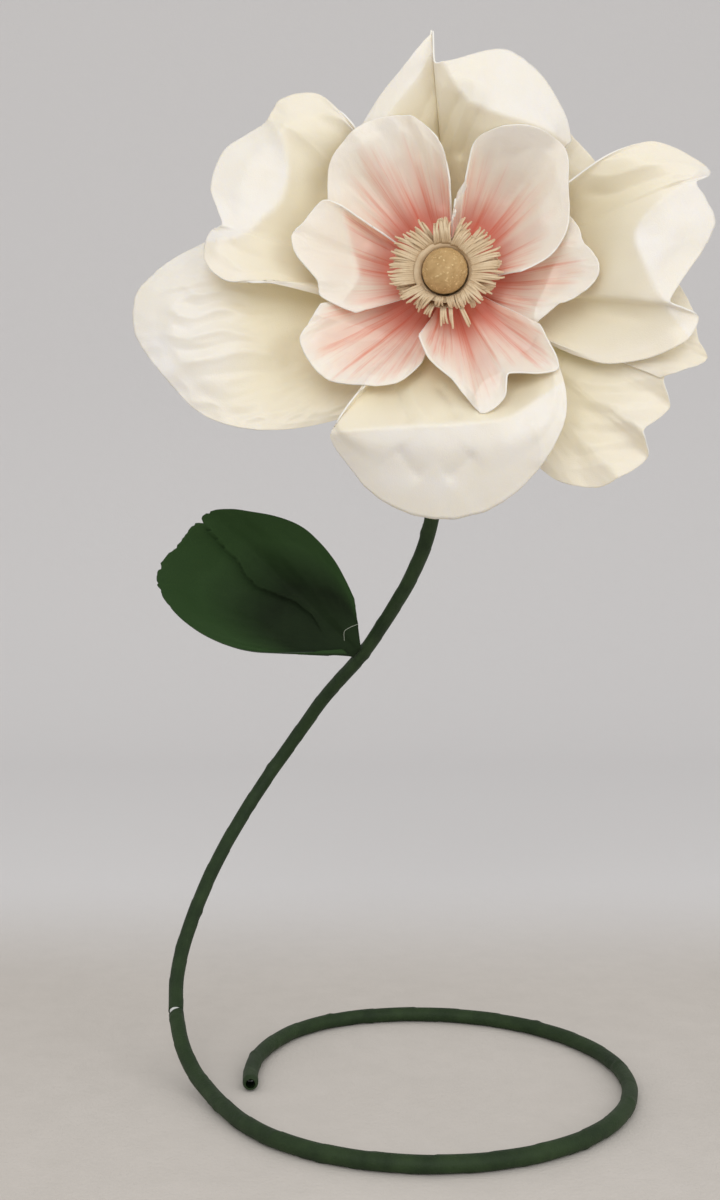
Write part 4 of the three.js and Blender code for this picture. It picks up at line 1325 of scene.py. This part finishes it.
# %% Shape the leaf
LEAF_ACROSS = 180
LEAF_OUT = 110
LEAF_THICKNESS = 0.0015
LEAF_FRAME = Matrix(((1, 0, 0, 0), (0, 0, 1, 0), (0, -1, 0, 0), (0, 0, 0, 1)))
FROM_LEAF = LEAF_FRAME.inverted()
LEAF_ROOT = Vector((-0.0626, 0.528, -0.19))
CREASE = [
    (-0.286, 0.722), (-0.270, 0.700), (-0.252, 0.680), (-0.236, 0.664), (-0.225, 0.643),
    (-0.205, 0.627), (-0.176, 0.616), (-0.152, 0.606), (-0.131, 0.588), (-0.110, 0.552),
]
CREASE_STEP = 0.007
CREASE_WIDTH = 0.012
TORN_FROM = 0.36
TORN_TO = 0.66
TEAR_EASE = 0.02
TEAR_DEPTH = 0.026
NOTCH_AT = 0.605
NOTCH_DEPTH = 0.035
NOTCH_WIDTH = 0.005


def torn_reach(across):
    """How far out each column of the leaf goes. It falls short where the end is torn."""
    torn = eased(across, TORN_FROM, TORN_FROM + TEAR_EASE)
    torn *= 1 - eased(across, TORN_TO - TEAR_EASE, TORN_TO)
    wide = np.array([noise.noise(Vector((u * 55, 3.3, 0))) for u in across])
    teeth = np.array([noise.noise(Vector((u * 160, 7.1, 0))) for u in across])
    notch = NOTCH_DEPTH * np.exp(-((across - NOTCH_AT) / NOTCH_WIDTH) ** 2)
    return 1 - torn * TEAR_DEPTH * np.clip(0.25 + 0.8 * wide + 0.6 * teeth, 0, 1) - notch


leaf_rows = clockwise(front_rows("leaf_blade", LEAF_FRAME, LEAF_ROOT))
leaf_u = np.linspace(0, 1, LEAF_ACROSS + 1)
leaf_v = np.linspace(0, 1, LEAF_OUT + 1)
leaf_points = finer(leaf_rows, LEAF_ACROSS, LEAF_OUT, torn_reach(leaf_u))
print("leaf net:", leaf_rows.shape)


# %% Build the leaf
def creased_leaf(points):
    """The leaf steps down at its crease, so that the upper right side overhangs a dark line."""
    away, side, place = distance_to_line(points[..., :2], CREASE)
    step = np.exp(-away / CREASE_WIDTH) * np.where(side > 0, 1.0, -0.7)
    points = points.copy()
    points[..., 2] += CREASE_STEP * step * (eased(place, 0, 0.1) * (1 - eased(place, 0.75, 1)))
    ramped_from_root = eased(leaf_v, 0.2, 0.5)[:, None]
    points[..., 2] += 2.0 * MM * wander(leaf_u, leaf_v, 5, 3, 51) * ramped_from_root
    points[..., 2] += 0.6 * MM * wander(leaf_u, leaf_v, 26, 6, 53) * ramped_from_root
    return points


def build_leaf(points):
    bm = new_sheet()
    for vert, i, j in add_grid(bm, LEAF_ACROSS, LEAF_OUT):
        vert.co = FROM_LEAF @ Vector(points[j, i])
    piece = make_piece("leaf_sheet", bm, "leaf_blade", [LEAF_GREEN, LEAF_EDGE])
    add_thickness(piece, LEAF_THICKNESS, rim_slot=1)


leaf_points = creased_leaf(leaf_points)
build_leaf(leaf_points)


# %% Thread of dried glue at the leaf's root
def make_thread(name, points, radius, around, stands_for, material):
    """Makes a thin solid tube along a list of points."""
    bm = new_sheet()
    add_tube(bm, points, np.linspace(0, 1, len(points)), even(radius), around=around)
    bmesh.ops.holes_fill(bm, edges=bm.edges, sides=0)
    bmesh.ops.recalc_face_normals(bm, faces=bm.faces)
    make_piece(name, bm, stands_for, [material])


GLUE_RADIUS = 0.0004
GLUE_LINE = [(-0.065, 0.576), (-0.070, 0.574), (-0.077, 0.571), (-0.085, 0.565), (-0.085, 0.552)]
GLUE_STEPS = 40

flat = leaf_points.reshape(-1, 3)
glue_points = []
for x, z in between(np.array(GLUE_LINE), np.linspace(0, 1, GLUE_STEPS + 1)):
    near = np.hypot(flat[:, 0] - x, flat[:, 1] - z)
    share = 1 / (near + MM) ** 4
    height = (flat[:, 2] * share).sum() / share.sum()
    glue_points.append(FROM_LEAF @ Vector((x, z, height + GLUE_RADIUS)))
make_thread(
    "glue_thread", np.array(glue_points), GLUE_RADIUS, 8, "leaf_blade", GLUE,
)

# %% Wire behind the leaf
WIRE_RADIUS = 0.0015
WIRE_STEP = 0.004

wire_points, _ = along_route(tube_route("leaf_wire"), WIRE_STEP)
make_thread(
    "leaf_stiffener", wire_points, WIRE_RADIUS, 12, "leaf_wire", WIRE_GREEN,
)

# %% [markdown]
# ## Floor, backdrop and light
#
# The flower stands on a pale floor that curves up into a pale wall, so that no line runs behind
# it. The floor is warm and marked round the ring and turns to the plain grey of the wall behind it.
# A large soft lamp in front and to the left shapes the folds. A weaker one at the right and the
# pale world fill the shadows.

# %% Floor that curves up into a wall
FLOOR_HALF = 7.0
WALL_BEHIND = 5.0
WALL_HEIGHT = 6.0
COVE = 1.8

WALL_PALE = (0.82, 0.81, 0.82)
FLOOR_PALE = (0.67, 0.63, 0.59)
FLOOR_WARM = (0.62, 0.58, 0.54)
FLOOR_MARK = (0.55, 0.52, 0.48)


def floor_marks():
    material, tree, shader = start_finish("pale_floor", 0.8, gloss=0.3)
    wide = cloudy(tree, FLOOR_PALE, FLOOR_WARM, 3.5, 0.5)
    marks = cloudy(tree, wide, FLOOR_MARK, 22, 0.22)
    parts = node(tree, "ShaderNodeSeparateXYZ", {"Vector": object_place(tree)})
    behind = ranged(tree, parts.outputs["Y"], 0.3, 1.2)
    dress(tree, shader, mixed(tree, behind, marks, WALL_PALE), 200, 12, 0.7, 0.002)
    return material


stage = bmesh.new()
bmesh.ops.create_grid(stage, x_segments=1, y_segments=1, size=FLOOR_HALF)
bmesh.ops.translate(stage, verts=stage.verts, vec=(0, WALL_BEHIND - FLOOR_HALF, 0))
far_edge = [
    edge for edge in stage.edges if all(vert.co.y > WALL_BEHIND - MM for vert in edge.verts)
]
raised = bmesh.ops.extrude_edge_only(stage, edges=far_edge)
top = [item for item in raised["geom"] if isinstance(item, bmesh.types.BMVert)]
bmesh.ops.translate(stage, verts=top, vec=(0, 0, WALL_HEIGHT))
fold = [
    edge for edge in stage.edges
    if all(abs(vert.co.y - WALL_BEHIND) < MM and vert.co.z < MM for vert in edge.verts)
]
bmesh.ops.bevel(
    stage, geom=fold, offset=COVE, affect="EDGES", segments=16, profile=0.5, material=-1,
)
bmesh.ops.recalc_face_normals(stage, faces=stage.faces)
new_object("stage", stage, [floor_marks()])
print("floor and wall are", 2 * FLOOR_HALF, "m wide")


# %% Lamps and world
LAMPS_AIM = (0.0, 0.0, 0.85)


def add_lamp(name, place, size, power):
    light = bpy.data.lights.new(name, "AREA")
    light.shape = "SQUARE"
    light.size = size
    light.energy = power
    lamp = bpy.data.objects.new(name, light)
    lamp.location = place
    lamp.rotation_euler = (Vector(LAMPS_AIM) - Vector(place)).to_track_quat("-Z", "Y").to_euler()
    bpy.context.scene.collection.objects.link(lamp)


add_lamp("key_light", (-0.5, -2.9, 1.9), 1.8, 27)
add_lamp("fill_light", (1.8, -2.2, 1.3), 1.8, 15)

ROOM_COLOUR = (1.0, 0.985, 0.96)
ROOM_STRENGTH = 0.66

world = bpy.data.worlds.new("pale_room")
world.use_nodes = True
room = world.node_tree.nodes["Background"]
feed(world.node_tree, room.inputs["Color"], ROOM_COLOUR)
feed(world.node_tree, room.inputs["Strength"], ROOM_STRENGTH)
bpy.context.scene.world = world
bpy.context.scene.view_settings.view_transform = "Standard"
